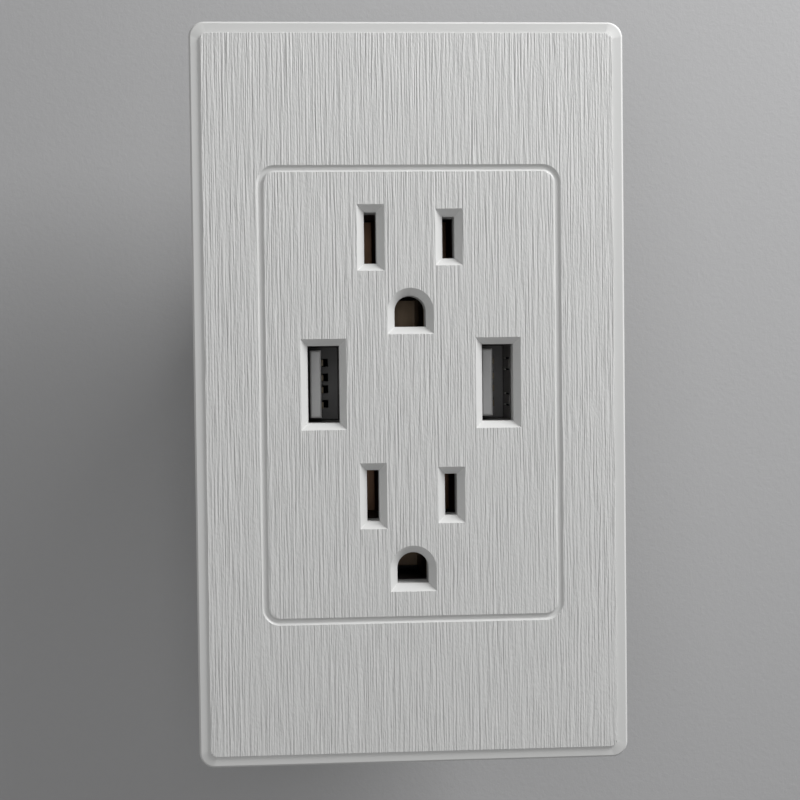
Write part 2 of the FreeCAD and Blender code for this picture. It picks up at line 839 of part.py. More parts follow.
def blade_contact(name):
    side, height = TERMINALS[name]
    body = node(f"{name}_contact")
    add(
        body, "back_strip", "XZ", "strip_y", "strip_back",
        span(*across(side, "blade_x - clip_half", "blade_x + clip_half"),
             "lower_outlet - clip_length / 2 - strip_end", "upper_outlet + clip_length / 2 + strip_end"),
    )
    add(
        body, "terminal_arm", "XZ", "strip_y", "strip_back",
        span(*across(side, "blade_x", "tab_out"), f"{height} - arm_half", f"{height} + arm_half"),
    )
    add(
        body, "terminal_tab", "YZ", *across(side, "tab_x", "tab_out"),
        span("strip_y", "recess_back - tab_end_gap", f"{height} - arm_half", f"{height} + arm_half"),
    )
    leaves = []
    for leaf, lean in (("outer", "+"), ("inner", "-")):
        def at(offset, depth):
            return f"{side}(blade_x {lean} ({offset}))", depth
        leaves.append(add(
            body, f"{leaf}_leaf", "XY", "upper_outlet - clip_length / 2", "upper_outlet + clip_length / 2",
            outline(
                at("clip_half", "strip_back"),
                at("clip_half", "strip_y - leaf_root"),
                at("clip_throat + clip_metal", "strip_y - leaf_throat"),
                at("clip_throat + clip_metal", "strip_y - leaf_throat_end"),
                at("clip_mouth + clip_metal", "strip_y - leaf_tip"),
                at("clip_mouth", "strip_y - leaf_tip"),
                at("clip_throat", "strip_y - leaf_throat_end"),
                at("clip_throat", "strip_y - leaf_throat"),
                at("clip_half - clip_metal", "strip_y - leaf_root"),
                at("clip_half - clip_metal", "strip_back"),
            ),
        ))
    repeat(body, "lower_leaves", leaves, "Z_Axis", "outlet_pitch")
    cut(
        body, "tab_thread", "YZ", *across(side, "tab_x", "tab_out"),
        circle("terminal_depth", height, "shank_radius + press_gap"),
    )


def ground_contact():
    side, height = TERMINALS["ground"]
    body = node("ground_contact")
    add(
        body, "back_strip", "XZ", "ground_y", "ground_back",
        span("-ground_strip_half", "ground_strip_half",
             "lower_ground - pin_leaf_half", "upper_ground + pin_leaf_half"),
    )
    add(
        body, "wings", "XZ", "ground_y", "ground_back",
        box("0", "upper_ground", "pin_throat + clip_metal", "pin_leaf_half"),
        box("0", "lower_ground", "pin_throat + clip_metal", "pin_leaf_half"),
    )
    add(
        body, "terminal_arm", "XZ", "ground_y", "ground_back",
        span(*across(side, "0", "tab_out"), f"{height} - arm_half", f"{height} + arm_half"),
    )
    add(
        body, "terminal_tab", "YZ", *across(side, "tab_x", "tab_out"),
        span("ground_y", "recess_back - tab_end_gap", f"{height} - arm_half", f"{height} + arm_half"),
    )
    leaves = []
    for leaf, lean in (("right", ""), ("left", "-")):
        leaves.append(add(
            body, f"{leaf}_leaf", "XY", "upper_ground - pin_leaf_half", "upper_ground + pin_leaf_half",
            outline(
                (f"{lean}(pin_throat + clip_metal)", "ground_back"),
                (f"{lean}(pin_throat + clip_metal)", "strip_y - pin_leaf_neck"),
                (f"{lean}(pin_mouth + clip_metal)", "strip_y - pin_leaf_tip"),
                (f"{lean}(pin_mouth)", "strip_y - pin_leaf_tip"),
                (f"{lean}(pin_throat)", "strip_y - pin_leaf_neck"),
                (f"{lean}(pin_throat)", "ground_back"),
            ),
        ))
    repeat(body, "lower_leaves", leaves, "Z_Axis", "outlet_pitch")
    cut(
        body, "tab_thread", "YZ", *across(side, "tab_x", "tab_out"),
        circle("terminal_depth", height, "shank_radius + press_gap"),
    )


def clamp_plate(name):
    side, height = TERMINALS[name]
    body = node(f"{name}_clamp_plate")
    add(
        body, "plate", "YZ", *across(side, "plate_x", "plate_x + plate_thick"),
        box("terminal_depth", height, "plate_half_y", "plate_half_z"),
    )
    cut(
        body, "screw_hole", "YZ", *across(side, "plate_x", "plate_x + plate_thick"),
        circle("terminal_depth", height, "shank_radius + press_gap"),
    )
    cut(
        body, "wire_grooves", "XZ", "terminal_depth - plate_half_y", "terminal_depth + plate_half_y",
        *[
            circle(f"{side}(plate_x - wire_groove_lift)", f"{height} {sign} wire_offset", "wire_groove")
            for sign in ("+", "-")
        ],
    )


def terminal_screw(name):
    side, height = TERMINALS[name]
    body = node(f"{name}_terminal_screw")
    turn(
        body, "screw", "XZ", "terminal_depth", "0", height,
        outline(
            (f"{side}(shank_end)", "0"),
            (f"{side}(shank_end)", "shank_radius"),
            (f"{side}(head_x)", "shank_radius"),
            (f"{side}(head_x)", "head_radius"),
            (f"{side}(head_x + head_thick)", "head_radius"),
            (f"{side}(head_x + head_thick)", "0"),
        ),
        "H_Axis",
    )
    outer = across(side, "head_x + head_thick - head_slot", "head_x + head_thick")
    cut(body, "slot", "YZ", *outer, box("terminal_depth", height, "head_slot / 2", "head_radius + part_gap"))
    cut(body, "cross_slot", "YZ", *outer, box("terminal_depth", height, "head_radius / 2", "head_slot / 2"))


# Charging ports: a folded shell, a moulded tongue and four pins each


def charging_port(name, side):
    centre = f"{side}(port_x)"
    shell = node(f"{name}_usb_shell")
    add(
        shell, "tube", "XZ", "shell_front", "shell_back",
        box(centre, "port_height", "shell_x", "shell_z"),
        box(centre, "port_height", "port_width / 2", "port_length / 2"),
    )
    for edge, sign in (("inner", "-"), ("outer", "+")):
        wall_low = f"{centre} {sign} shell_x" if sign == "-" else f"{centre} + port_width / 2"
        wall_high = f"{centre} - port_width / 2" if sign == "-" else f"{centre} + shell_x"
        cut(
            shell, f"{edge}_spring_slits", "YZ", wall_low, wall_high,
            *[
                outline(
                    ("shell_front + spring_start", f"{z} - spring_half"),
                    ("shell_front + spring_end", f"{z} - spring_half"),
                    ("shell_front + spring_end", f"{z} - spring_half + spring_slit"),
                    ("shell_front + spring_start + spring_slit", f"{z} - spring_half + spring_slit"),
                    ("shell_front + spring_start + spring_slit", f"{z} + spring_half - spring_slit"),
                    ("shell_front + spring_end", f"{z} + spring_half - spring_slit"),
                    ("shell_front + spring_end", f"{z} + spring_half"),
                    ("shell_front + spring_start", f"{z} + spring_half"),
                )
                for z in ("port_height - spring_offset", "port_height + spring_offset")
            ],
        )
        add(
            shell, f"{edge}_tail", "YZ", wall_low, wall_high,
            span("shell_back - tail_start", "shell_back - tail_start + tail_width",
                 "board_bottom - pin_out", "board_top + overrun"),
        )
    tongue = node(f"{name}_usb_tongue")
    add(
        tongue, "block", "XZ", "block_front", "block_back",
        box(centre, "port_height", "port_width / 2 - press_gap", "port_length / 2 - press_gap"),
    )
    bar = add(
        tongue, "bar", "XZ", "tongue_front", "block_front + overrun",
        span(f"{centre} + tongue_left", f"{centre} + tongue_right",
             "port_height - tongue_length / 2", "port_height + tongue_length / 2"),
    )
    chamfer(tongue, "bar_tip", bar, "tongue_chamfer", lambda p: near(p.y, "tongue_front"))
    pitches = ("-(pin_pitch_inner / 2 + pin_pitch_outer)", "-(pin_pitch_inner / 2)",
               "pin_pitch_inner / 2", "pin_pitch_inner / 2 + pin_pitch_outer")
    cut(
        tongue, "pin_windows", "XZ", "block_front", "block_back",
        *[
            span(f"{centre} + tongue_right", f"{centre} + tongue_right + pin_window_depth",
                 f"port_height + {pitch} - pin_window_half", f"port_height + {pitch} + pin_window_half")
            for pitch in pitches
        ],
    )
    pins = node(f"{name}_usb_pins")
    legs = []
    for row, pitch in enumerate(pitches):
        under, over = f"port_height + {pitch} - pin_width / 2", f"port_height + {pitch} + pin_width / 2"
        bend = f"shell_back + pin_back + {row} * pin_step"
        legs.append(outline(
            ("tongue_front + pin_inset", under),
            (bend, under),
            (bend, "board_bottom - pin_out"),
            (f"{bend} + pin_foot", "board_bottom - pin_out"),
            (f"{bend} + pin_foot", over),
            ("tongue_front + pin_inset", over),
        ))
    add(pins, "pins", "YZ", f"{centre} + tongue_right", f"{centre} + tongue_right + pin_thick", *legs)


# Charger: a board under the ports with its transformer, capacitors and chips


def charger_board():
    body = node("charger_board")
    add(
        body, "board", "XY", "board_bottom", "board_top",
        span("-board_half", "board_half", "board_front", "board_back"),
    )
    cut(
        body, "contact_gap", "XY", "board_bottom", "board_top",
        outline(
            ("-(blade_x + clip_half + board_gap)", "board_front - overrun"),
            ("blade_x + clip_half + board_gap", "board_front - overrun"),
            ("blade_x + clip_half + board_gap", "strip_back + board_gap"),
            ("ground_strip_half + board_gap", "strip_back + board_gap"),
            ("ground_strip_half + board_gap", "ground_back + board_gap"),
            ("-(ground_strip_half + board_gap)", "ground_back + board_gap"),
            ("-(ground_strip_half + board_gap)", "strip_back + board_gap"),
            ("-(blade_x + clip_half + board_gap)", "strip_back + board_gap"),
        ),
    )
    tails = [
        box(f"{side}(port_x) {sign} (port_width / 2 + shell_wall / 2)",
            "shell_back - tail_start + tail_width / 2",
            "shell_wall / 2 + part_gap", "tail_width / 2 + part_gap")
        for side in ("", "-")
        for sign in ("+", "-")
    ]
    pins = [
        box(f"{side}(port_x) + tongue_right + pin_thick / 2",
            f"shell_back + pin_back + pin_foot / 2 + {row} * pin_step",
            "pin_thick / 2 + part_gap", "pin_foot / 2 + part_gap")
        for side in ("", "-")
        for row in range(4)
    ]
    cut(body, "shell_slots", "XY", "board_bottom", "board_top", *tails)
    cut(body, "pin_slots", "XY", "board_bottom", "board_top", *pins)
    cut(
        body, "feed_slots", "XY", "board_bottom", "board_top",
        *[
            box(x, "strip_back + feed_reach", "feed_half + fit_gap", "feed_metal / 2 + fit_gap")
            for x in ("blade_x", "-(blade_x)")
        ],
    )


def feed_strip(name):
    """A bent jumper from the back of a contact strip up into the board."""
    side = TERMINALS[name][0]
    body = node(f"{name}_feed_strip")
    add(
        body, "jumper", "YZ", *across(side, "blade_x - feed_half", "blade_x + feed_half"),
        outline(
            ("strip_back", "board_bottom - feed_drop"),
            ("strip_back + feed_metal", "board_bottom - feed_drop"),
            ("strip_back + feed_metal", "board_bottom - feed_bend"),
            ("strip_back + feed_reach + feed_metal / 2", "board_bottom - feed_bend"),
            ("strip_back + feed_reach + feed_metal / 2", "board_top + feed_rise"),
            ("strip_back + feed_reach - feed_metal / 2", "board_top + feed_rise"),
            ("strip_back + feed_reach - feed_metal / 2", "board_bottom - feed_bend + feed_metal"),
            ("strip_back", "board_bottom - feed_bend + feed_metal"),
        ),
    )


def transformer():
    core = node("transformer_core")
    add(
        core, "core", "XZ", "core_y - core_depth / 2", "core_y + core_depth / 2",
        span("-core_width / 2", "core_width / 2", "board_top", "board_top + core_height"),
    )
    cut(
        core, "windows", "XZ", "core_y - core_depth / 2", "core_y + core_depth / 2",
        *[
            span(*across(side, "core_leg / 2", "core_width / 2 - core_yoke"),
                 "board_top + core_yoke", "board_top + core_height - core_yoke")
            for side in ("", "-")
        ],
    )
    low, high = "board_top + core_yoke + part_gap", "board_top + core_height - core_yoke - part_gap"
    bobbin = node("transformer_bobbin")
    leg = ("core_leg / 2 + part_gap", "core_depth / 2 + part_gap")
    tube = [f"{half} + bobbin_wall" for half in leg]
    flange = box("0", "core_y", "coil_half + flange_lip", "coil_half + flange_lip")
    add(bobbin, "tube", "XY", low, high, box("0", "core_y", *tube))
    add(bobbin, "lower_flange", "XY", low, f"{low} + bobbin_wall", flange)
    add(bobbin, "upper_flange", "XY", f"{high} - bobbin_wall", high, flange)
    cut(bobbin, "leg_hole", "XY", low, high, box("0", "core_y", *leg))
    winding = node("transformer_winding")
    add(
        winding, "winding", "XY", f"{low} + bobbin_wall + part_gap", f"{high} - bobbin_wall - part_gap",
        rounded("0", "core_y", "coil_half", "coil_half", "coil_corner"),
        box("0", "core_y", *[f"{half} + part_gap" for half in tube]),
    )


def capacitors():
    """Round cans that stand on the board."""
    row = "core_y - can_setback"
    add(
        node("input_capacitor"), "can", "XY", "board_top", "board_top + input_can_height",
        circle("-(core_width / 2 + can_gap + input_can)", row, "input_can"),
    )
    x = "core_width / 2 + can_gap + output_can"
    add(
        node("output_capacitors"), "cans", "XY", "board_top", "board_top + output_can_height",
        circle(x, f"{row} - output_can - press_gap", "output_can"),
        circle(x, f"{row} + output_can + press_gap", "output_can"),
    )


def chips():
    for name, x in (("controller_chip", "-(chip_x)"), ("rectifier_chip", "chip_x")):
        body = node(name)
        add(
            body, "package", "XY", "board_bottom - chip_thick", "board_bottom",
            box(x, "core_y", "chip_half_x", "chip_half_y"),
        )
        cut(
            body, "index_mark", "XY", "board_bottom - chip_thick", "board_bottom - chip_thick + mark_depth",
            circle(f"{x} - chip_half_x + mark_inset", "core_y - chip_half_y + mark_inset", "mark_radius"),
        )
    fuse = node("fuse")
    x = "core_width / 2 + can_gap + 2 * output_can + fuse_gap + fuse_radius"
    middle = "core_y - can_setback"
    add(
        fuse, "fuse", "XZ", f"{middle} - fuse_length / 2", f"{middle} + fuse_length / 2",
        circle(x, "board_top + fuse_radius", "fuse_radius"),
    )


# Four like screws that hold lid and housing to the frame


def housing_screws():
    body = node("housing_screws")
    corners = [(x, z) for x in ("screw_x", "-(screw_x)") for z in ("screw_z", "-(screw_z)")]
    add(
        body, "heads", "XZ", "post_back", "post_back + screw_head_thick",
        *[circle(x, z, "screw_head") for x, z in corners],
    )
    add(
        body, "shanks", "XZ", "skin_back - screw_grip", "post_back + part_gap",
        *[circle(x, z, "screw_radius") for x, z in corners],
    )
    cut(
        body, "drives", "XZ", "post_back + screw_head_thick - drive_depth", "post_back + screw_head_thick",
        *[box(x, z, "screw_head - drive_inset", "drive_half") for x, z in corners],
    )


def check_model():
    """Every object is up to date, every sub-part is a valid solid and every cut removes material."""
    for thing in doc.Objects:
        state = set(thing.State) & {"Invalid", "Error"}
        if state:
            raise RuntimeError(f"{thing.Name}: {sorted(state)}")
        if thing.TypeId == "PartDesign::Pocket":
            if thing.Shape.Volume > thing.BaseFeature.Shape.Volume - 1e-6:
                raise RuntimeError(f"{thing.Name} cuts nothing")
    for thing in NODES:
        if thing.Shape.isNull() or not thing.Shape.isValid() or not thing.Shape.Solids:
            raise RuntimeError(f"{thing.Label}: no valid solid")


front_cover()
mounting_frame()
contact_cover()
rear_housing()
for conductor in ("line", "neutral"):
    blade_contact(conductor)
    feed_strip(conductor)
ground_contact()
for terminal in TERMINALS:
    clamp_plate(terminal)
    terminal_screw(terminal)
charging_port("left", "-")
charging_port("right", "")
charger_board()
transformer()
capacitors()
chips()
housing_screws()

doc.recompute()
check_model()
os.makedirs("parts", exist_ok=True)
for thing in NODES:
    thing.Shape.exportStep(f"parts/{thing.Label}.step")
    print(thing.Label, len(thing.Shape.Solids), round(thing.Shape.Volume, 2))
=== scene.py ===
import math

import bmesh
import bpy
import numpy as np
from mathutils import Matrix, Vector
from mathutils.geometry import delaunay_2d_cdt


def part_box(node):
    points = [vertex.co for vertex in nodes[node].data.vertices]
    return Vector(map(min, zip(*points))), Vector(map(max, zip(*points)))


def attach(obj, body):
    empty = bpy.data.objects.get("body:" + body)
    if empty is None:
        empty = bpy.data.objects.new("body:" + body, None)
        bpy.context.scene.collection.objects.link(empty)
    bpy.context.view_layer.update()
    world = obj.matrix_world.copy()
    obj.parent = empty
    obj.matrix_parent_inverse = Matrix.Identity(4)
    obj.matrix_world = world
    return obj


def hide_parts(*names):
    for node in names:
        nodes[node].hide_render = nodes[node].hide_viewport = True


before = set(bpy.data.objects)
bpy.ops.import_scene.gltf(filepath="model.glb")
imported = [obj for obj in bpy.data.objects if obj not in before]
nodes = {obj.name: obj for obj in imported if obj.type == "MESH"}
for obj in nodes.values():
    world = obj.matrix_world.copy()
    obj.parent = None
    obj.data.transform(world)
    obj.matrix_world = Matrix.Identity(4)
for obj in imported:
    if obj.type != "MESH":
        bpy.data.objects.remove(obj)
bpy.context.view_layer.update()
made = {}      # node name to the piece that stands for it
print("frame loaded:", len(nodes), "nodes")


def shown(item):
    bpy.context.scene.collection.objects.link(item)
    return item


def standFor(piece, node, body="socket_body"):
    shown(piece)
    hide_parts(node)
    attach(piece, body)
    made[node] = piece


def smoothed(mesh):
    mesh.polygons.foreach_set("use_smooth", np.ones(len(mesh.polygons), dtype=bool))
    return mesh


def meshOf(name, shape):
    mesh = bpy.data.meshes.new(name)
    shape.to_mesh(mesh)
    shape.free()
    return smoothed(mesh)


def applied(item):
    # the mesh of an object with its modifiers applied
    depsgraph = bpy.context.evaluated_depsgraph_get()
    return bpy.data.meshes.new_from_object(item.evaluated_get(depsgraph))


def carved(piece, cutters):
    # the mesh of a piece without what the cutters take away
    for item in (piece, *cutters):
        shown(item)
    for item in cutters:
        cut = piece.modifiers.new(item.name, "BOOLEAN")
        cut.object = item
        cut.operation = "DIFFERENCE"
        cut.solver = "EXACT"
    mesh = applied(piece)
    for item in (piece, *cutters):
        bpy.data.objects.remove(item)
    return mesh


# Marks sunk in the housing's back: a blank panel, four round pin marks and two strip gauges

markLooks = {
    "back": 0.027,                  # m, where the back face lies on y
    "panel": (0.0115, 0.0125),      # m, half sizes of the panel
    "panelPower": 24.0,             # squareness of the panel's corners
    "panelDepth": 0.0003,           # m
    "pinAt": (0.0085, 0.0245),      # m, where the round marks lie on x and z, to either side
    "pinRadius": 0.0019,            # m
    "gaugeAt": 0.0160,              # m, where the strip gauges lie on x
    "gauge": (0.0005, 0.0058),      # m, half sizes of a strip gauge
    "gaugePower": 8.0,              # squareness of a gauge's ends
    "depth": 0.0002,                # m, of the round marks and gauges
    "over": 0.001,                  # m, by which the cutters stand out
    "slack": 0.00001,               # m, by which an edge of a mark may lie deeper
}


def oval(centre, half, power=2.0, count=48):
    # superellipse |x/a|^n + |z/b|^n = 1: n = 2 is round, and a high n is nearly square
    turn = (np.arange(count) + 0.5) * 2.0 * math.pi / count
    unit = np.stack([np.cos(turn), np.sin(turn)], axis=-1)
    return np.array(centre) + np.array(half) * np.sign(unit) * np.abs(unit) ** (2.0 / power)


def drawn(shape, outline, low, high):
    # the outline in x and z drawn through from y = low to y = high
    near, far = [[shape.verts.new((x, y, z)) for x, z in outline] for y in (low, high)]
    shape.faces.new(near)
    shape.faces.new(far)
    for index in range(len(near)):
        after = (index + 1) % len(near)
        shape.faces.new((near[index], far[index], far[after], near[after]))


def markCutter():
    shape = bmesh.new()
    back, over = markLooks["back"], markLooks["back"] + markLooks["over"]
    floor = back - markLooks["depth"]
    panel = oval((0.0, 0.0), markLooks["panel"], markLooks["panelPower"])
    drawn(shape, panel, back - markLooks["panelDepth"], over)
    pinX, pinZ = markLooks["pinAt"]
    pin = (markLooks["pinRadius"], markLooks["pinRadius"])
    for x in (-1, 1):
        for z in (-1, 1):
            drawn(shape, oval((x * pinX, z * pinZ), pin), floor, over)
        place = (x * markLooks["gaugeAt"], 0.0)
        drawn(shape, oval(place, markLooks["gauge"], markLooks["gaugePower"]), floor, over)
    bmesh.ops.recalc_face_normals(shape, faces=shape.faces)
    return bpy.data.objects.new("marks", meshOf("marks", shape))


def onMarks(edge):
    # every edge of a mark lies on the back face or just in front of it, inside the outline
    side = markLooks["gaugeAt"] + markLooks["over"]
    rise = markLooks["pinAt"][1] + markLooks["pinRadius"] + markLooks["over"]
    near = markLooks["back"] - markLooks["panelDepth"] - markLooks["slack"]
    return all(abs(v.co.x) < side and abs(v.co.z) < rise and v.co.y > near for v in edge.verts)


# Rounded mouldings: each is a copy of its node with the doubles merged and the edges rounded
# by a radius in metres

rounding = {
    "merge": 0.000002,      # m, points nearer than this are one
    "flat": 1.0,            # degrees, faces of the marked housing that turn by less are one
    "turn": 35.0,           # degrees, edges that turn by more are rounded
    "steps": 2,             # faces across a rounded edge
    "corners": 4,           # flat faces with more corners are split
    "exact": 1e-9,          # m, corners nearer than this are one when a face is split
    "faceWeight": 50,       # of the large faces in the normals
}
roundLooks = {
    "front_cover": {"piece": "cover_moulding", "slot": "white_plastic", "radius": 0.00005},
    "mounting_frame": {"piece": "frame_moulding", "slot": "frame_plastic", "radius": 0.00012},
    "contact_cover": {"piece": "lid_moulding", "slot": "lid_plastic", "radius": 0.0001},
    "rear_housing": {
        "piece": "housing_moulding", "slot": "housing_plastic", "radius": 0.0002, "marked": True,
    },
    "line_contact": {
        "piece": "line_contact_strip", "slot": "contact_brass", "radius": 0.00006,
    },
    "neutral_contact": {
        "piece": "neutral_contact_strip", "slot": "contact_brass", "radius": 0.00006,
    },
    "ground_contact": {
        "piece": "ground_contact_strip", "slot": "contact_brass", "radius": 0.00006,
    },
    "line_clamp_plate": {
        "piece": "line_plate", "slot": "clamp_steel", "radius": 0.0001, "body": "line_clamp",
    },
    "neutral_clamp_plate": {
        "piece": "neutral_plate", "slot": "clamp_steel", "radius": 0.0001,
        "body": "neutral_clamp",
    },
    "ground_clamp_plate": {
        "piece": "ground_plate", "slot": "clamp_steel", "radius": 0.0001, "body": "ground_clamp",
    },
    "left_usb_shell": {"piece": "left_port_shell", "slot": "shell_steel", "radius": 0.00008},
    "right_usb_shell": {"piece": "right_port_shell", "slot": "shell_steel", "radius": 0.00008},
    "left_usb_tongue": {
        "piece": "left_port_insert", "slot": "tongue_plastic", "radius": 0.00012,
    },
    "right_usb_tongue": {
        "piece": "right_port_insert", "slot": "tongue_plastic", "radius": 0.00012,
    },
    "transformer_core": {"piece": "core_halves", "slot": "core_ferrite", "radius": 0.00025},
    "controller_chip": {
        "piece": "controller_package", "slot": "chip_plastic", "radius": 0.0001,
    },
    "rectifier_chip": {"piece": "rectifier_package", "slot": "chip_plastic", "radius": 0.0001},
}


def splitFlats(mesh):
    # a flat face with holes is one outline that runs to each hole and back: it is split into
    # triangles that keep to its inside, where a ray crosses the outline an odd number of times
    shape = bmesh.new()
    shape.from_mesh(mesh)
    old = []
    for face in [f for f in shape.faces if len(f.verts) > rounding["corners"]]:
        corners = list(dict.fromkeys(face.verts))
        place = {vert: index for index, vert in enumerate(corners)}
        across = face.normal.orthogonal().normalized()
        along = face.normal.cross(across)
        flat = [Vector((vert.co.dot(across), vert.co.dot(along))) for vert in corners]
        single = [
            edge for edge in dict.fromkeys(face.edges)
            if sum(loop.face is face for loop in edge.link_loops) == 1
        ]
        outline = [tuple(place[vert] for vert in edge.verts) for edge in single]
        # output 1 is the triangles inside the outline
        points, _, triangles, origin, _, _ = delaunay_2d_cdt(
            flat, outline, [], 1, rounding["exact"])
        if len(points) != len(corners):
            continue
        first = np.array([flat[i] for i, _ in outline])
        last = np.array([flat[j] for _, j in outline])
        for triangle in triangles:
            middle = sum((points[i] for i in triangle), Vector((0.0, 0.0))) / 3
            over = (first[:, 1] > middle.y) != (last[:, 1] > middle.y)
            rise = np.where(over, last[:, 1] - first[:, 1], 1.0)
            share = (middle.y - first[:, 1]) / rise
            cross = first[:, 0] + share * (last[:, 0] - first[:, 0])
            if np.sum(over & (cross > middle.x)) % 2:
                shape.faces.new([corners[origin[i][0]] for i in triangle]).smooth = True
        old.append(face)
    bmesh.ops.delete(shape, geom=old, context="FACES_ONLY")
    loose = [edge for edge in shape.edges if not edge.link_faces]
    bmesh.ops.delete(shape, geom=loose, context="EDGES")
    shape.to_mesh(mesh)
    shape.free()


def rounded(node, look):
    shape = bmesh.new()
    shape.from_mesh(nodes[node].data)
    bmesh.ops.remove_doubles(shape, verts=shape.verts, dist=rounding["merge"])
    marked = look.get("marked", False)
    if marked:
        plain = bpy.data.objects.new("plain", meshOf("plain", shape))
        shape = bmesh.new()
        shape.from_mesh(carved(plain, [markCutter()]))
        bmesh.ops.dissolve_limit(
            shape, angle_limit=math.radians(rounding["flat"]),
            verts=shape.verts, edges=shape.edges,
        )
    # the edges of the marks stay sharp
    turn = math.radians(rounding["turn"])
    share = shape.edges.layers.float.new("bevel_weight_edge")
    for edge in shape.edges:
        if edge.calc_face_angle(0.0) > turn:
            sharp = marked and onMarks(edge)
            edge[share] = 0.0 if sharp else 1.0
            edge.smooth = not sharp
    draft = shown(bpy.data.objects.new("draft", meshOf("draft", shape)))
    bevel = draft.modifiers.new("edges", "BEVEL")
    bevel.width = look["radius"]
    bevel.segments = rounding["steps"]
    bevel.limit_method = "WEIGHT"
    bevel.use_clamp_overlap = False
    mesh = applied(draft)
    mesh.name = look["piece"]
    bpy.data.objects.remove(draft)
    splitFlats(mesh)
    piece = bpy.data.objects.new(look["piece"], mesh)
    weighted = piece.modifiers.new("normals", "WEIGHTED_NORMAL")
    weighted.weight = rounding["faceWeight"]
    weighted.keep_sharp = True
    standFor(piece, node, look.get("body", "socket_body"))


for node in roundLooks:
    rounded(node, roundLooks[node])
print("mouldings rounded:", len(made))


# Turned pieces: point = centre + axis * height + radius * (cos angle * across + sin angle * along)

def turnedMesh(name, radii, heights, look, count=48):
    # radii is one number for each height, or a row of them round the axis, and both ends
    # close on the axis
    axis = np.array(look["axis"], dtype=float)
    across = np.roll(axis, 1)
    along = np.cross(axis, across)
    angle = np.arange(count) * 2.0 * math.pi / count
    rows = np.asarray(radii, dtype=float)
    rows = rows.reshape(len(heights), -1) * np.ones((1, count))
    spoke = np.cos(angle)[:, None] * across + np.sin(angle)[:, None] * along
    ring = rows[1:-1, :, None] * spoke + np.asarray(heights)[1:-1, None, None] * axis
    ends = np.asarray(heights)[[0, -1], None] * axis
    points = np.concatenate([ring.reshape(-1, 3), ends]) + np.array(look["centre"])
    step = np.arange(count)
    after = (step + 1) % count
    level = np.arange(len(ring) - 1)[:, None] * count
    quads = np.stack(
        [level + step, level + after, level + count + after, level + count + step], axis=-1)
    first, last = len(points) - 2, len(points) - 1
    top = (len(ring) - 1) * count
    low = np.stack([np.full(count, first), after, step], axis=-1)
    high = np.stack([np.full(count, last), top + step, top + after], axis=-1)
    faces = quads.reshape(-1, 4).tolist() + low.tolist() + high.tolist()
    mesh = bpy.data.meshes.new(name)
    mesh.from_pydata(points.tolist(), [], faces)
    return smoothed(mesh)


def curve(*corners, steps=5):
    # profile through the corners, each one rounded by its third number: the arc from one side
    # of the corner to the other is the quadratic curve (1-t)^2 a + 2t(1-t) corner + t^2 b
    points = []
    for index, corner in enumerate(corners):
        here = np.array(corner[:2])
        if len(corner) < 3:
            points.append(here)
            continue
        before = np.array(corners[index - 1][:2]) - here
        after = np.array(corners[index + 1][:2]) - here
        a = here + before / np.linalg.norm(before) * corner[2]
        b = here + after / np.linalg.norm(after) * corner[2]
        t = np.linspace(0.0, 1.0, steps)[:, None]
        points.extend((1 - t) ** 2 * a + 2 * t * (1 - t) * here + t ** 2 * b)
    return np.array(points)


# Screws: threaded shank, domed head, and a slot with a cross recess over it

screwLooks = {
    "line_terminal_screw": {
        "piece": "line_screw_turned", "slot": "line_screw_brass", "body": "line_screw",
        "centres": [(0.01915, 0.019, 0.018)], "axis": (1, 0, 0),
    },
    "neutral_terminal_screw": {
        "piece": "neutral_screw_turned", "slot": "neutral_screw_steel", "body": "neutral_screw",
        "centres": [(-0.01915, 0.019, 0.018)], "axis": (-1, 0, 0),
    },
    "ground_terminal_screw": {
        "piece": "ground_screw_turned", "slot": "ground_screw_green", "body": "ground_screw",
        "centres": [(-0.01915, 0.019, -0.019)], "axis": (-1, 0, 0),
    },
    "housing_screws": {
        "piece": "housing_screws_turned", "slot": "screw_steel", "body": "socket_body",
        "centres": [
            (x, 0.0064, z) for x in (-0.0193, 0.0193) for z in (-0.03229, 0.03229)
        ],
        "axis": (0, 1, 0), "head": 0.0026, "thick": 0.0018, "shank": 0.0013,
        "length": 0.0108, "pitch": 0.0009, "slotHalf": 0.0004,
    },
}
terminalScrew = {
    "head": 0.0039, "thick": 0.0020, "shank": 0.0017,      # m, head and shank are radii
    "length": 0.00655, "pitch": 0.000794, "slotHalf": 0.0005,
}
threadShape = {
    "sides": 48,            # round the screw
    "rows": 8,              # for each turn of the thread
    "depth": 0.26,          # share of the pitch
    "crest": 1.3,           # over 1 flattens the crest
    "root": 0.15,           # over 0 flattens the root
    "tip": 1.6,             # thread depths by which the end is narrower
    "tipLength": 0.0003,    # m
    "neckLength": 0.0002,   # m
}
headShape = {
    "rim": 0.98,            # share of the head's radius
    "underside": 0.97,      # share of the rim's radius
    "rimRound": 0.00012,    # m
    "side": 0.62,           # share of the thickness where the dome starts
    "sideRound": 0.3,       # share of the thickness
    "dome": (0.55, 0.99),   # shares of the radius and the thickness
    "domeRound": 0.3,       # share of the radius
    "top": 0.2,             # share of the radius that is flat
}
driveShape = {
    "slotReach": 1.3,       # share of the head's radius
    "slotDepth": 0.5,       # share of the thickness
    "crossHalf": 0.9,       # share of the slot's width
    "crossReach": 0.55,     # share of the head's radius at the top
    "crossTip": 0.22,       # share of the head's radius at the bottom
    "crossDepth": 0.8,      # share of the thickness
    "over": 0.0005,         # m, by which the cutters stand out
    "sharp": 38.0,          # degrees, edges that turn by more look sharp
}


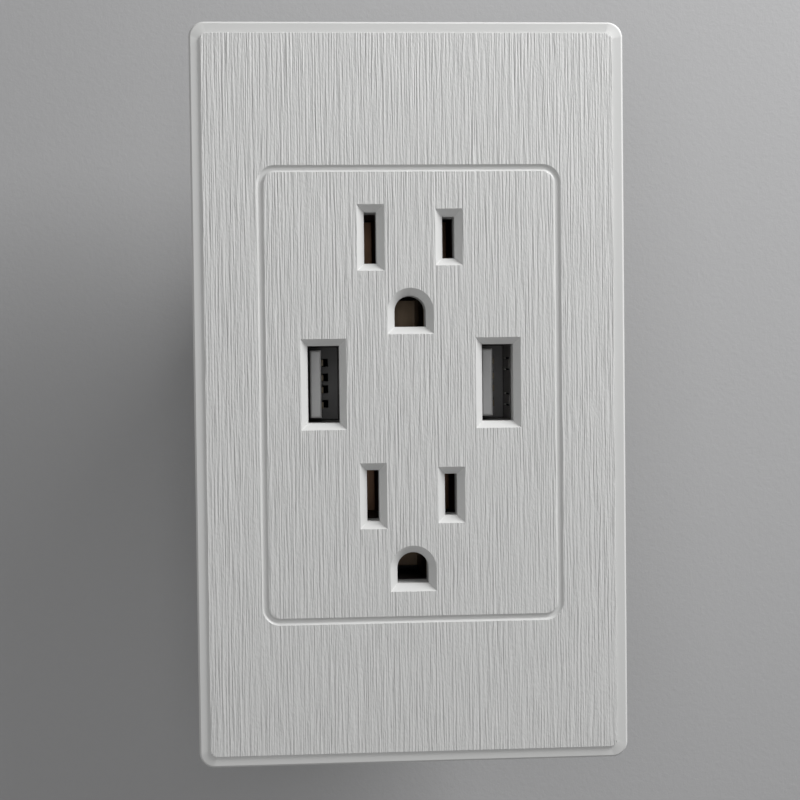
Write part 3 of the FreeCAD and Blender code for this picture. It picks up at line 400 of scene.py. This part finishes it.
def blade(name, look, half, reach, tip, depth, turned=False):
    # a wedge that cuts the drive: reach long at the head's top and tip long at its depth
    axis = np.array(look["axis"], dtype=float)
    across = np.roll(axis, 1)
    along = np.cross(axis, across)
    if turned:
        across, along = along, -across
    levels = ((look["thick"] - depth, tip), (look["thick"] + driveShape["over"], reach))
    corners = [
        across * u * half + along * v * size + axis * height + np.array(look["centre"])
        for height, size in levels for u, v in ((-1, -1), (1, -1), (1, 1), (-1, 1))
    ]
    faces = [(3, 2, 1, 0), (4, 5, 6, 7), (0, 1, 5, 4), (1, 2, 6, 5), (2, 3, 7, 6), (3, 0, 4, 7)]
    mesh = bpy.data.meshes.new(name)
    mesh.from_pydata([corner.tolist() for corner in corners], [], faces)
    return bpy.data.objects.new(name, mesh)


def screwMesh(name, look):
    pitch, length = look["pitch"], look["length"]
    head, thick, shank = look["head"], look["thick"], look["shank"]
    depth, sides = pitch * threadShape["depth"], threadShape["sides"]
    rows = int(round(length / pitch * threadShape["rows"]))
    down = np.linspace(-length + threadShape["tipLength"], -threadShape["neckLength"], rows)
    # the wave is 1 on the crest and 0 in the root, and fades out at both ends
    wave = np.abs((down[:, None] / pitch - np.arange(sides) / sides) % 1.0 - 0.5) * 2.0
    fade = np.clip(np.minimum(down - down[0], down[-1] - down) / pitch, 0.0, 1.0)[:, None]
    ridge = np.clip(wave * threadShape["crest"] - threadShape["root"], 0.0, 1.0) * fade
    thread = shank - depth * (1.0 - ridge)
    domeRadius, domeHeight = headShape["dome"]
    crown = curve(
        (head * headShape["rim"], 0.0, headShape["rimRound"]),
        (head, thick * headShape["side"], thick * headShape["sideRound"]),
        (head * domeRadius, thick * domeHeight, head * headShape["domeRound"]),
        (head * headShape["top"], thick),
    )
    around = np.ones((1, sides))
    radii = np.concatenate([
        around * 0.0, around * (shank - depth * threadShape["tip"]), thread,
        around * (shank - depth), around * (headShape["rim"] * head * headShape["underside"]),
        crown[:, :1] * around, around * 0.0,
    ])
    heights = np.concatenate([[-length, -length], down, [0.0, 0.0], crown[:, 1], [thick]])
    return turnedMesh(name, radii, heights, look, sides)


def cutDrive(name, look):
    piece = bpy.data.objects.new(name, screwMesh(name, look))
    head, thick, half = look["head"], look["thick"], look["slotHalf"]
    reach = head * driveShape["slotReach"]
    cross = (
        half * driveShape["crossHalf"], head * driveShape["crossReach"],
        head * driveShape["crossTip"], thick * driveShape["crossDepth"],
    )
    return carved(piece, [
        blade("slot", look, half, reach, reach, thick * driveShape["slotDepth"]),
        blade("cross", look, *cross),
        blade("crossTurned", look, *cross, turned=True),
    ])


def screws(node, look):
    # every screw of the node joined in one mesh
    shape = bmesh.new()
    for index, centre in enumerate(look["centres"]):
        single = {**terminalScrew, **look, "centre": centre}
        shape.from_mesh(cutDrive(f"{look['piece']}_{index}", single))
    mesh = meshOf(look["piece"], shape)
    mesh.set_sharp_from_angle(angle=math.radians(driveShape["sharp"]))
    piece = bpy.data.objects.new(look["piece"], mesh)
    standFor(piece, node, look["body"])


for node in screwLooks:
    screws(node, screwLooks[node])
print("screws turned and cut")


# Capacitors and fuse: turned cans with a rolled neck, and a barrel with pressed caps

canLook = {
    "sleeve": (0.02, 0.03, 0.07), "metal": (0.66, 0.66, 0.67), "stripe": (0.45, 0.46, 0.48),
    "footRound": 0.0003,                  # m, as all sizes here
    "neck": (0.0010, 0.0014, 0.0018),     # heights where the neck starts, is deepest and ends
    "neckDepth": 0.00022,
    "neckRound": 0.0002,
    "topRound": 0.0004,
    "rim": (0.0007, 0.00002),             # width of the rolled rim, and its fall
    "lid": (0.00075, 0.00018),            # the lid's distance from the side and from the top
    "metalFrom": 0.00012,                 # bare metal shows this far down from the top
    "stripeAt": 2.4,                      # radians round the middle
    "stripeHalf": 0.35,
    "roughness": 0.24,
    "grainScale": 900.0, "grainGloss": 0.14, "grainHeight": 0.000004,
}
fuseLook = {
    "body": (0.42, 0.36, 0.24), "cap": (0.68, 0.67, 0.64),
    "capLength": 0.0018, "capStep": 0.0002,      # m
    "endRound": 0.0003, "capRound": 0.0001, "stepRound": 0.00005,
    "roughness": 0.5, "capPolish": 0.2,
    "grainScale": 1500.0, "grainGloss": 0.1, "grainHeight": 0.000006,
    "darkest": 0.85, "grainTint": 0.3,
}


def cans(node, pieceName, count):
    # the node's box holds count equal cans in a row along y
    low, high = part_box(node)
    radius, height, middle = (high.x - low.x) / 2, high.z - low.z, (low.x + high.x) / 2
    neckLow, neckDeep, neckHigh = canLook["neck"]
    rimWidth, rimFall = canLook["rim"]
    lidIn, lidDown = canLook["lid"]
    profile = curve(
        (0.0, 0.0), (radius, 0.0, canLook["footRound"]), (radius, neckLow),
        (radius - canLook["neckDepth"], neckDeep, canLook["neckRound"]), (radius, neckHigh),
        (radius, height, canLook["topRound"]), (radius - rimWidth, height - rimFall),
        (radius - lidIn, height - lidDown), (0.0, height - lidDown),
    )
    shape = bmesh.new()
    for y in np.linspace(low.y + radius, high.y - radius, count):
        place = {"axis": (0, 0, 1), "centre": (middle, y, low.z)}
        shape.from_mesh(turnedMesh(pieceName, profile[:, 0], profile[:, 1], place))
    piece = bpy.data.objects.new(pieceName, meshOf(pieceName, shape))
    standFor(piece, node)


def barrel(node, pieceName):
    low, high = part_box(node)
    length, radius = high.y - low.y, (high.x - low.x) / 2
    inner, cap = radius - fuseLook["capStep"], fuseLook["capLength"]
    profile = curve(
        (0.0, 0.0), (radius, 0.0, fuseLook["endRound"]), (radius, cap, fuseLook["capRound"]),
        (inner, cap, fuseLook["stepRound"]), (inner, length - cap, fuseLook["stepRound"]),
        (radius, length - cap, fuseLook["capRound"]), (radius, length, fuseLook["endRound"]),
        (0.0, length),
    )
    centre = ((low.x + high.x) / 2, low.y, (low.z + high.z) / 2)
    place = {"axis": (0, 1, 0), "centre": centre}
    mesh = turnedMesh(pieceName, profile[:, 0], profile[:, 1], place)
    standFor(bpy.data.objects.new(pieceName, mesh), node)


cans("input_capacitor", "input_can", 1)
cans("output_capacitors", "output_cans", 2)
barrel("fuse", "fuse_barrel")
print("cans and fuse turned")


# Shader arithmetic: a socket that can be added, multiplied and compared like a number

class Wire:
    def __init__(self, paint, socket):
        self.paint = paint
        self.socket = socket

    def math(self, operation, *others, first=None):
        step = self.paint.tree.nodes.new("ShaderNodeMath")
        step.operation = operation
        for slot, item in zip(step.inputs, (self if first is None else first, *others)):
            self.paint.feed(slot, item)
        return Wire(self.paint, step.outputs[0])

    def __add__(self, other):
        return self.math("ADD", other)

    def __radd__(self, other):
        return self.math("ADD", other)

    def __sub__(self, other):
        return self.math("SUBTRACT", other)

    def __rsub__(self, other):
        return self.math("SUBTRACT", self, first=other)

    def __mul__(self, other):
        return self.math("MULTIPLY", other)

    def __lt__(self, other):
        return self.math("LESS_THAN", other)

    def __gt__(self, other):
        return self.math("GREATER_THAN", other)

    def __abs__(self):
        return self.math("ABSOLUTE")

    def ramp(self, low, high):
        # 0 at low, 1 at high, smooth between
        return self.paint.node(
            "ShaderNodeMapRange", {"interpolation_type": "SMOOTHSTEP", "clamp": True},
            {"Value": self, "From Min": low, "From Max": high, "To Min": 0.0, "To Max": 1.0},
        )


# A material made of procedural nodes, with the place of every point in metres

noiseKinds = {      # detail and roughness of the noise
    "even": (0.0, 0.5), "soft": (1.0, 0.5), "plain": (2.0, 0.5),
    "grain": (2.0, 0.55), "cloud": (3.0, 0.6), "speck": (4.0, 0.7),
}


class Paint:
    def __init__(self, name, colour, roughness, metallic=0.0):
        self.material = bpy.data.materials.new(name)
        self.material.use_nodes = True
        self.tree = self.material.node_tree
        self.tree.nodes.clear()
        self.ending = self.tree.nodes.new("ShaderNodeOutputMaterial")
        self.shader = self.tree.nodes.new("ShaderNodeBsdfPrincipled")
        self.tree.links.new(self.shader.outputs[0], self.ending.inputs[0])
        self.colour = (*colour, 1.0)
        self.set("Base Color", self.colour)
        self.set("Roughness", roughness)
        self.set("Metallic", metallic)
        self.place = self.node("ShaderNodeTexCoord", output="Object")
        self.x, self.y, self.z = [
            self.node("ShaderNodeSeparateXYZ", {}, {"Vector": self.place}, axis) for axis in "XYZ"
        ]

    def feed(self, slot, item):
        if isinstance(item, Wire):
            self.tree.links.new(item.socket, slot)
        else:
            slot.default_value = item

    def node(self, kind, settings=None, inputs=None, output=0):
        step = self.tree.nodes.new(kind)
        for key, setting in (settings or {}).items():
            setattr(step, key, setting)
        for key, item in (inputs or {}).items():
            self.feed(step.inputs[key], item)
        return Wire(self, step.outputs[output])

    def set(self, key, item):
        self.feed(self.shader.inputs[key], item)

    def vector(self, operation, first, second):
        return self.node("ShaderNodeVectorMath", {"operation": operation}, {0: first, 1: second})

    def noise(self, scale, kind="plain"):
        # cloudy noise about 0.5, with scale in cycles per metre, for all axes or for each
        detail, roughness = noiseKinds[kind]
        each = scale if isinstance(scale, tuple) else (scale,) * 3
        place = self.vector("MULTIPLY", self.place, each)
        return self.node(
            "ShaderNodeTexNoise", {"noise_dimensions": "3D"},
            {"Vector": place, "Scale": 1.0, "Detail": detail, "Roughness": roughness},
        )

    def blend(self, factor, first, second, kind="MIX"):
        # slots 0, 6 and 7 of the Mix node are the factor and the two colours
        return self.node(
            "ShaderNodeMix", {"data_type": "RGBA", "blend_type": kind},
            {0: factor, 6: first, 7: second}, 2,
        )

    def worn(self, factor, colour):
        # the material's own colour, and another one where the factor is 1
        return self.blend(factor, self.colour, (*colour, 1.0))

    def shade(self, factor):
        # the material's own colour, darker or lighter by a factor that varies over the surface
        channels = {"Red": factor, "Green": factor, "Blue": factor}
        grey = self.node("ShaderNodeCombineColor", {}, channels)
        return self.blend(1.0, self.colour, grey, "MULTIPLY")

    def relief(self, height):
        # height in metres
        bump = {"Strength": 1.0, "Distance": 1.0, "Height": height}
        self.set("Normal", self.node("ShaderNodeBump", {}, bump))

    def on(self, *names):
        # the finish of a node, and of the piece that stands for it
        for name in names:
            for slot in nodes[name].material_slots:
                slot.material = self.material
            if name in made:
                made[name].data.materials.clear()
                made[name].data.materials.append(self.material)


# Front cover: white plastic, smooth on rim, bevels and groove, brushed upright on the raised field

coverLook = {
    "colour": (0.585, 0.587, 0.58),
    "roughness": 0.45,
    "fieldPlane": -0.00783,                # m, in front of this the face is the brushed field
    "streakHeight": 0.00034,               # m
    "streakTint": 0.25,                    # share by which the streaks vary in lightness
    "streakGloss": 0.2,                    # and in roughness
    "wobble": 0.00005,                     # m, how far a streak strays to either side
    "wobbleScale": (140.0, 1.0, 140.0),    # cycles per metre, as every scale here
    "coarse": 0.30, "coarseScale": (2250.0, 1.0, 50.0),
    "fine": 0.42, "fineScale": (3700.0, 1.0, 120.0),
    "grain": 0.20, "grainScale": (3600.0, 1.0, 1300.0),
    "patch": 0.30, "patchScale": (260.0, 1.0, 70.0), "patchFrom": 0.34, "patchTo": 0.6,
    "dustScale": 90.0, "dustTint": 0.03, "dustGloss": 0.12,
}


def brushedPlastic(look):
    paint = Paint("cover_brushed_white", look["colour"], look["roughness"])
    straight = paint.place
    stray = (paint.noise(look["wobbleScale"]) - 0.5) * look["wobble"] * 2.0
    shift = paint.node("ShaderNodeCombineXYZ", {}, {"X": stray})
    paint.place = paint.vector("ADD", straight, shift)
    coarse = paint.noise(look["coarseScale"], "even")
    fine = paint.noise(look["fineScale"], "soft")
    grain = paint.noise(look["grainScale"], "soft")
    paint.place = straight
    # the fine streaks are deeper in patches
    patch = paint.noise(look["patchScale"]).ramp(look["patchFrom"], look["patchTo"])
    streaks = (coarse - 0.5) * look["coarse"]
    streaks = streaks + (fine - 0.5) * (look["fine"] + patch * look["patch"])
    streaks = streaks + (grain - 0.5) * look["grain"]
    field = paint.y < look["fieldPlane"]
    dust = paint.noise(look["dustScale"], "cloud") - 0.5
    gloss = (0.5 - fine) * look["streakGloss"] * field
    tint = 1.0 + streaks * look["streakTint"] * field
    paint.relief(streaks * look["streakHeight"] * field)
    paint.set("Base Color", paint.shade(tint * (1.0 + dust * look["dustTint"])))
    paint.set("Roughness", look["roughness"] + dust * look["dustGloss"] + gloss)
    return paint


brushedPlastic(coverLook).on("front_cover")
print("front cover painted")


# Plain plastics: a fine moulded grain and slow changes of gloss

plasticLooks = {
    "frame_white": {
        "colour": (0.62, 0.62, 0.60), "roughness": 0.48, "on": ["mounting_frame"],
    },
    "lid_black": {
        "colour": (0.062, 0.055, 0.061), "roughness": 0.5, "on": ["contact_cover"],
    },
    "bobbin_black": {
        "colour": (0.02, 0.02, 0.021), "roughness": 0.4, "on": ["transformer_bobbin"],
    },
    "chip_black": {
        "colour": (0.018, 0.018, 0.02), "roughness": 0.55,
        "on": ["controller_chip", "rectifier_chip"],
    },
}
plasticGrain = {
    "scale": 3800.0, "height": 0.000006, "tint": 0.02,
    "cloudScale": 120.0, "cloudTint": 0.04, "cloudGloss": 0.2, "darkest": 0.97,
}
# the rear housing is spark-eroded, and polished on the floor of its sunk panel
housingLook = {
    "colour": (0.045, 0.046, 0.05), "roughness": 0.52, "polished": 0.14, "polishedRelief": 0.8,
    "floorSlack": 0.00004,      # m, how far from the panel's floor the polish reaches
    "on": ["rear_housing"],
}
housingGrain = {
    "scale": 2600.0, "height": 0.000012, "tint": 0.05,
    "cloudScale": 110.0, "cloudTint": 0.09, "cloudGloss": 0.2, "darkest": 0.94,
}


def panelFloor(paint):
    # 1 on the floor of the housing's sunk panel
    side, rise = markLooks["panel"]
    floor = markLooks["back"] - markLooks["panelDepth"]
    level = abs(paint.y - floor) < housingLook["floorSlack"]
    return level * (abs(paint.x) < side) * (abs(paint.z) < rise)


def mouldedPlastic(name, look, mould):
    paint = Paint(name, look["colour"], look["roughness"])
    grain = paint.noise(mould["scale"], "grain")
    cloud = paint.noise(mould["cloudScale"], "cloud")
    height = grain * mould["height"]
    roughness = look["roughness"] + (cloud - 0.5) * mould["cloudGloss"]
    if "polished" in look:
        floor = panelFloor(paint)
        height = height * (1.0 - floor * look["polishedRelief"])
        roughness = roughness - floor * look["polished"]
    paint.relief(height)
    tone = mould["darkest"] + grain * mould["tint"] + cloud * mould["cloudTint"]
    paint.set("Base Color", paint.shade(tone))
    paint.set("Roughness", roughness)
    paint.on(*look["on"])


for name in plasticLooks:
    mouldedPlastic(name, plasticLooks[name], plasticGrain)
mouldedPlastic("housing_grey", housingLook, housingGrain)


# Port inserts: white moulding painted grey for the shade in the port, and darker still deep inside
# as painted shade

tongueLook = {
    # white plastic given a grey colour as painted shade
    "colour": (0.46, 0.46, 0.46), "roughness": 0.4,
    "deepShadeShare": 0.11, "deepShadeFrom": 0.0050, "deepShadeTo": 0.0058,      # m on y
    "cloudScale": 400.0, "cloudTint": 0.06, "cloudGloss": 0.12, "height": 0.000004,
    "darkest": 0.97,
}


def insertPlastic(look):
    paint = Paint("tongue_white", look["colour"], look["roughness"])
    # painted shade: the insert darkens past the front of its block, deep in the port
    deepShade = paint.y.ramp(look["deepShadeFrom"], look["deepShadeTo"])
    cloud = paint.noise(look["cloudScale"])
    light = 1.0 - deepShade * (1.0 - look["deepShadeShare"])
    paint.set("Base Color", paint.shade(light * (look["darkest"] + cloud * look["cloudTint"])))
    paint.set("Roughness", look["roughness"] + cloud * look["cloudGloss"])
    paint.relief(cloud * look["height"])
    return paint


insertPlastic(tongueLook).on("left_usb_tongue", "right_usb_tongue")


# Metals: drawn or rolled along one direction, with faint scratches

metalLooks = {
    "contact_bronze": {
        "colour": (0.72, 0.44, 0.28), "roughness": 0.42, "grain": (3000.0, 3000.0, 120.0),
        "on": ["line_contact", "neutral_contact", "line_feed_strip", "neutral_feed_strip"],
        "paintedShade": 0.28,
    },
    "ground_bronze": {
        "colour": (0.60, 0.45, 0.32), "roughness": 0.38, "grain": (3000.0, 3000.0, 120.0),
        "on": ["ground_contact"], "paintedShade": 0.2,
    },
    "screw_brass": {
        "colour": (0.80, 0.58, 0.24), "roughness": 0.28, "grain": (600.0, 4000.0, 4000.0),
        "on": ["line_terminal_screw"],
    },
    "screw_nickel": {
        "colour": (0.70, 0.69, 0.66), "roughness": 0.28, "grain": (600.0, 4000.0, 4000.0),
        "on": ["neutral_terminal_screw"],
    },
    "clamp_nickel": {
        "colour": (0.62, 0.62, 0.62), "roughness": 0.36, "grain": (3000.0, 200.0, 3000.0),
        "on": ["line_clamp_plate", "neutral_clamp_plate", "ground_clamp_plate"],
    },
    "shell_nickel": {
        "colour": (0.40, 0.385, 0.375), "roughness": 0.40, "grain": (3000.0, 150.0, 3000.0),
        "on": ["left_usb_shell", "right_usb_shell"],
    },
    # the pins' gold is darkened almost to black as painted shade deep in the ports
    "pin_gold": {
        "colour": (0.07, 0.06, 0.045), "roughness": 0.55, "grain": (2500.0, 200.0, 2500.0),
        "on": ["left_usb_pins", "right_usb_pins"],
    },
    "screw_zinc": {
        "colour": (0.66, 0.67, 0.68), "roughness": 0.32, "grain": (2500.0, 2500.0, 2500.0),
        "on": ["housing_screws"],
    },
}
metalGrain = {
    "height": 0.000003, "tint": 0.1, "gloss": 0.25,      # height in m
    "cloudScale": 260.0, "cloudTint": 0.18, "cloudGloss": 0.2, "darkest": 0.86,
    # where the painted shade on the contacts ends and they are fully lit
    "shadedTo": 0.0125, "unshadedFrom": 0.0145,      # m from the middle on x
}


def rolledMetal(name, look):
    paint = Paint(name, look["colour"], look["roughness"], metallic=1.0)
    grain = paint.noise(look["grain"], "cloud")
    cloud = paint.noise(metalGrain["cloudScale"], "cloud")
    paint.relief(grain * metalGrain["height"])
    tone = metalGrain["darkest"] + grain * metalGrain["tint"] + cloud * metalGrain["cloudTint"]
    if "paintedShade" in look:
        # painted shade: darker between the terminals, inside the housing, where the contacts lie
        # in shade
        unshaded = abs(paint.x).ramp(metalGrain["shadedTo"], metalGrain["unshadedFrom"])
        tone = tone * (1.0 - (1.0 - unshaded) * (1.0 - look["paintedShade"]))
    paint.set("Base Color", paint.shade(tone))
    gloss = (grain - 0.5) * metalGrain["gloss"] + (cloud - 0.5) * metalGrain["cloudGloss"]
    paint.set("Roughness", look["roughness"] + gloss)
    paint.on(*look["on"])


for name in metalLooks:
    rolledMetal(name, metalLooks[name])

greenLook = {
    "colour": (0.03, 0.22, 0.07), "worn": (0.42, 0.46, 0.40), "roughness": 0.3, "metallic": 0.75,
    "wearScale": 900.0, "wearFrom": 0.6, "wearTo": 0.72,
    "wearTint": 0.35, "wearGloss": 0.15, "wearHeight": 0.000002,
}


def greenSteel(look):
    # dyed steel, rubbed paler on a few spots
    paint = Paint("screw_green", look["colour"], look["roughness"], look["metallic"])
    wear = paint.noise(look["wearScale"], "cloud").ramp(look["wearFrom"], look["wearTo"])
    paint.set("Base Color", paint.worn(wear * look["wearTint"], look["worn"]))
    paint.set("Roughness", look["roughness"] + wear * look["wearGloss"])
    paint.relief(wear * look["wearHeight"])
    return paint


greenSteel(greenLook).on("ground_terminal_screw")
print("plastics and metals painted")


# Charger board and its parts

boardLook = {
    "colour": (0.010, 0.075, 0.035), "track": (0.02, 0.13, 0.055), "roughness": 0.28,
    "waveX": 2600.0, "waveY": 900.0,      # radians per metre of the tracks' pattern
    "trackShare": 0.22, "trackReach": 0.0188, "trackGloss": 0.08, "trackHeight": 0.00002,
}


def boardLaminate(look):
    # tracks are slightly raised and lighter under the solder mask
    paint = Paint("board_green", look["colour"], look["roughness"])
    wave = (paint.x * look["waveX"]).math("SINE") * (paint.y * look["waveY"]).math("SINE")
    tracks = (abs(wave) < look["trackShare"]) * (abs(paint.x) < look["trackReach"])
    paint.set("Base Color", paint.worn(tracks, look["track"]))
    paint.set("Roughness", look["roughness"] + tracks * look["trackGloss"])
    paint.relief(tracks * look["trackHeight"])
    return paint


boardLaminate(boardLook).on("charger_board")

partLooks = {
    "core_ferrite": {"colour": (0.028, 0.028, 0.030), "roughness": 0.62, "on": "transformer_core"},
    "winding_tape": {
        "colour": (0.70, 0.50, 0.045), "roughness": 0.32, "on": "transformer_winding",
    },
}
partSpeck = {"scale": 2400.0, "darkest": 0.8, "tint": 0.4, "gloss": 0.2, "height": 0.00001}


def speckled(name, look):
    paint = Paint(name, look["colour"], look["roughness"])
    speck = paint.noise(partSpeck["scale"], "speck")
    paint.set("Base Color", paint.shade(partSpeck["darkest"] + speck * partSpeck["tint"]))
    paint.set("Roughness", look["roughness"] + (speck - 0.5) * partSpeck["gloss"])
    paint.relief(speck * partSpeck["height"])
    paint.on(look["on"])


for name in partLooks:
    speckled(name, partLooks[name])


def canSleeve(node, look):
    # a dark sleeve with a pale stripe down one side and the bare metal on top
    low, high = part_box(node)
    paint = Paint(f"{node}_sleeve", look["sleeve"], look["roughness"])
    cap = paint.z > high.z - look["metalFrom"]
    acrossX, acrossY = paint.x - (low.x + high.x) / 2, paint.y - (low.y + high.y) / 2
    around = acrossX.math("ARCTAN2", acrossY)
    stripe = abs(around - look["stripeAt"]) < look["stripeHalf"]
    sleeve = paint.worn(stripe, look["stripe"])
    paint.set("Base Color", paint.blend(cap, sleeve, (*look["metal"], 1.0)))
    paint.set("Metallic", cap)
    grain = paint.noise(look["grainScale"])
    paint.set("Roughness", look["roughness"] + grain * look["grainGloss"])
    paint.relief(grain * look["grainHeight"])
    paint.on(node)


for node in ("input_capacitor", "output_capacitors"):
    canSleeve(node, canLook)


def fuseCeramic(look):
    low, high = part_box("fuse")
    paint = Paint("fuse_ceramic", look["body"], look["roughness"])
    bare = (high.y - low.y) / 2 - look["capLength"]
    cap = abs(paint.y - (low.y + high.y) / 2) > bare
    grain = paint.noise(look["grainScale"], "cloud")
    ceramic = paint.shade(look["darkest"] + grain * look["grainTint"])
    paint.set("Base Color", paint.blend(cap, ceramic, (*look["cap"], 1.0)))
    paint.set("Metallic", cap)
    gloss = grain * look["grainGloss"] - cap * look["capPolish"]
    paint.set("Roughness", look["roughness"] + gloss)
    paint.relief(grain * look["grainHeight"])
    paint.on("fuse")


fuseCeramic(fuseLook)
print("charger board painted")


# Backdrop: the plain surface that the socket lies on, seen only from the front

stageLook = {
    "colour": (0.375, 0.375, 0.38), "roughness": 0.9,
    "behind": 0.0275, "half": 1.6,      # m
    "cloudScale": 1400.0, "cloudTint": 0.03, "darkest": 0.985, "height": 0.00004,
}


def backdrop(look):
    half, y = look["half"], look["behind"]
    corners = [(-half, y, -half), (half, y, -half), (half, y, half), (-half, y, half)]
    mesh = bpy.data.meshes.new("backdrop")
    mesh.from_pydata(corners, [], [(0, 1, 2, 3)])
    piece = shown(bpy.data.objects.new("backdrop", mesh))
    paint = Paint("backdrop_pale", look["colour"], look["roughness"])
    cloud = paint.noise(look["cloudScale"], "cloud")
    paint.set("Base Color", paint.shade(look["darkest"] + cloud * look["cloudTint"]))
    paint.relief(cloud * look["height"])
    # clear from behind, and clear to the light that falls on the back of the socket
    seeThrough = paint.node("ShaderNodeNewGeometry", output="Backfacing")
    for ray in ("Is Diffuse Ray", "Is Shadow Ray"):
        seeThrough = seeThrough.math("MAXIMUM", paint.node("ShaderNodeLightPath", output=ray))
    clear = paint.tree.nodes.new("ShaderNodeBsdfTransparent")
    mix = paint.tree.nodes.new("ShaderNodeMixShader")
    paint.feed(mix.inputs[0], seeThrough)
    paint.tree.links.new(paint.shader.outputs[0], mix.inputs[1])
    paint.tree.links.new(clear.outputs[0], mix.inputs[2])
    paint.tree.links.new(mix.outputs[0], paint.ending.inputs[0])
    mesh.materials.append(paint.material)


backdrop(stageLook)


# Light: a soft lamp at the upper right, close to the plane of the face, and an even sky

lampLooks = {
    "key": {"place": (0.31, -0.15, 0.32), "size": 0.24, "watts": 2.95},
    "fill": {"place": (-0.15, -0.9, 0.1), "size": 0.8, "watts": 1.9},
    "back": {"place": (0.35, 0.8, 0.45), "size": 0.5, "watts": 9.0},
}
skyLook = {
    "light": 0.25,     # strength of the even light
    "seen": 0.62,      # lightness of the empty background
}


def areaLamp(name, look):
    light = bpy.data.lights.new(name, "AREA")
    light.shape = "SQUARE"
    light.size = look["size"]
    light.energy = look["watts"]
    lamp = shown(bpy.data.objects.new(name, light))
    lamp.location = look["place"]
    aim = Vector((0.0, 0.0, 0.0)) - lamp.location
    lamp.rotation_euler = aim.to_track_quat("-Z", "Y").to_euler()


def evenSky(look):
    world = bpy.data.worlds.new("sky")
    bpy.context.scene.world = world
    world.use_nodes = True
    tree = world.node_tree
    sky, seen = tree.nodes["Background"], tree.nodes.new("ShaderNodeBackground")
    for part, strength in ((sky, look["light"]), (seen, look["seen"])):
        part.inputs["Color"].default_value = (1.0, 1.0, 1.0, 1.0)
        part.inputs["Strength"].default_value = strength
    path = tree.nodes.new("ShaderNodeLightPath")
    choose = tree.nodes.new("ShaderNodeMixShader")
    rays = path.outputs["Is Camera Ray"]
    for other in ("Is Glossy Ray", "Is Transmission Ray"):
        either = tree.nodes.new("ShaderNodeMath")
        either.operation = "MAXIMUM"
        tree.links.new(rays, either.inputs[0])
        tree.links.new(path.outputs[other], either.inputs[1])
        rays = either.outputs[0]
    for slot, socket in zip(choose.inputs, (rays, sky.outputs[0], seen.outputs[0])):
        tree.links.new(socket, slot)
    tree.links.new(choose.outputs[0], tree.nodes["World Output"].inputs[0])


for name in lampLooks:
    areaLamp(name, lampLooks[name])
evenSky(skyLook)
bpy.context.scene.view_settings.view_transform = "Standard"
print("stage and light set")


# Camera: almost square to the face, a little to the left and above

cameraLook = {
    "place": (-0.01547, -0.24045, 0.00579),      # m
    "ahead": (0.0583, 0.9979, -0.0284),
    "up": (0.0134, 0.0276, 0.9995),
    "lens": 64.9, "sensor": 36.0,                # mm
    "near": 0.01,                                # m
}


def photoCamera(look):
    view = bpy.data.cameras.new("camera")
    view.sensor_width = look["sensor"]
    view.lens = look["lens"]
    view.clip_start = look["near"]
    ahead = Vector(look["ahead"]).normalized()
    right = ahead.cross(Vector(look["up"])).normalized()
    turned = Matrix((right, right.cross(ahead), -ahead)).transposed().to_4x4()
    camera = shown(bpy.data.objects.new("camera", view))
    camera.matrix_world = Matrix.Translation(look["place"]) @ turned
    bpy.context.scene.camera = camera


photoCamera(cameraLook)
print("camera set")
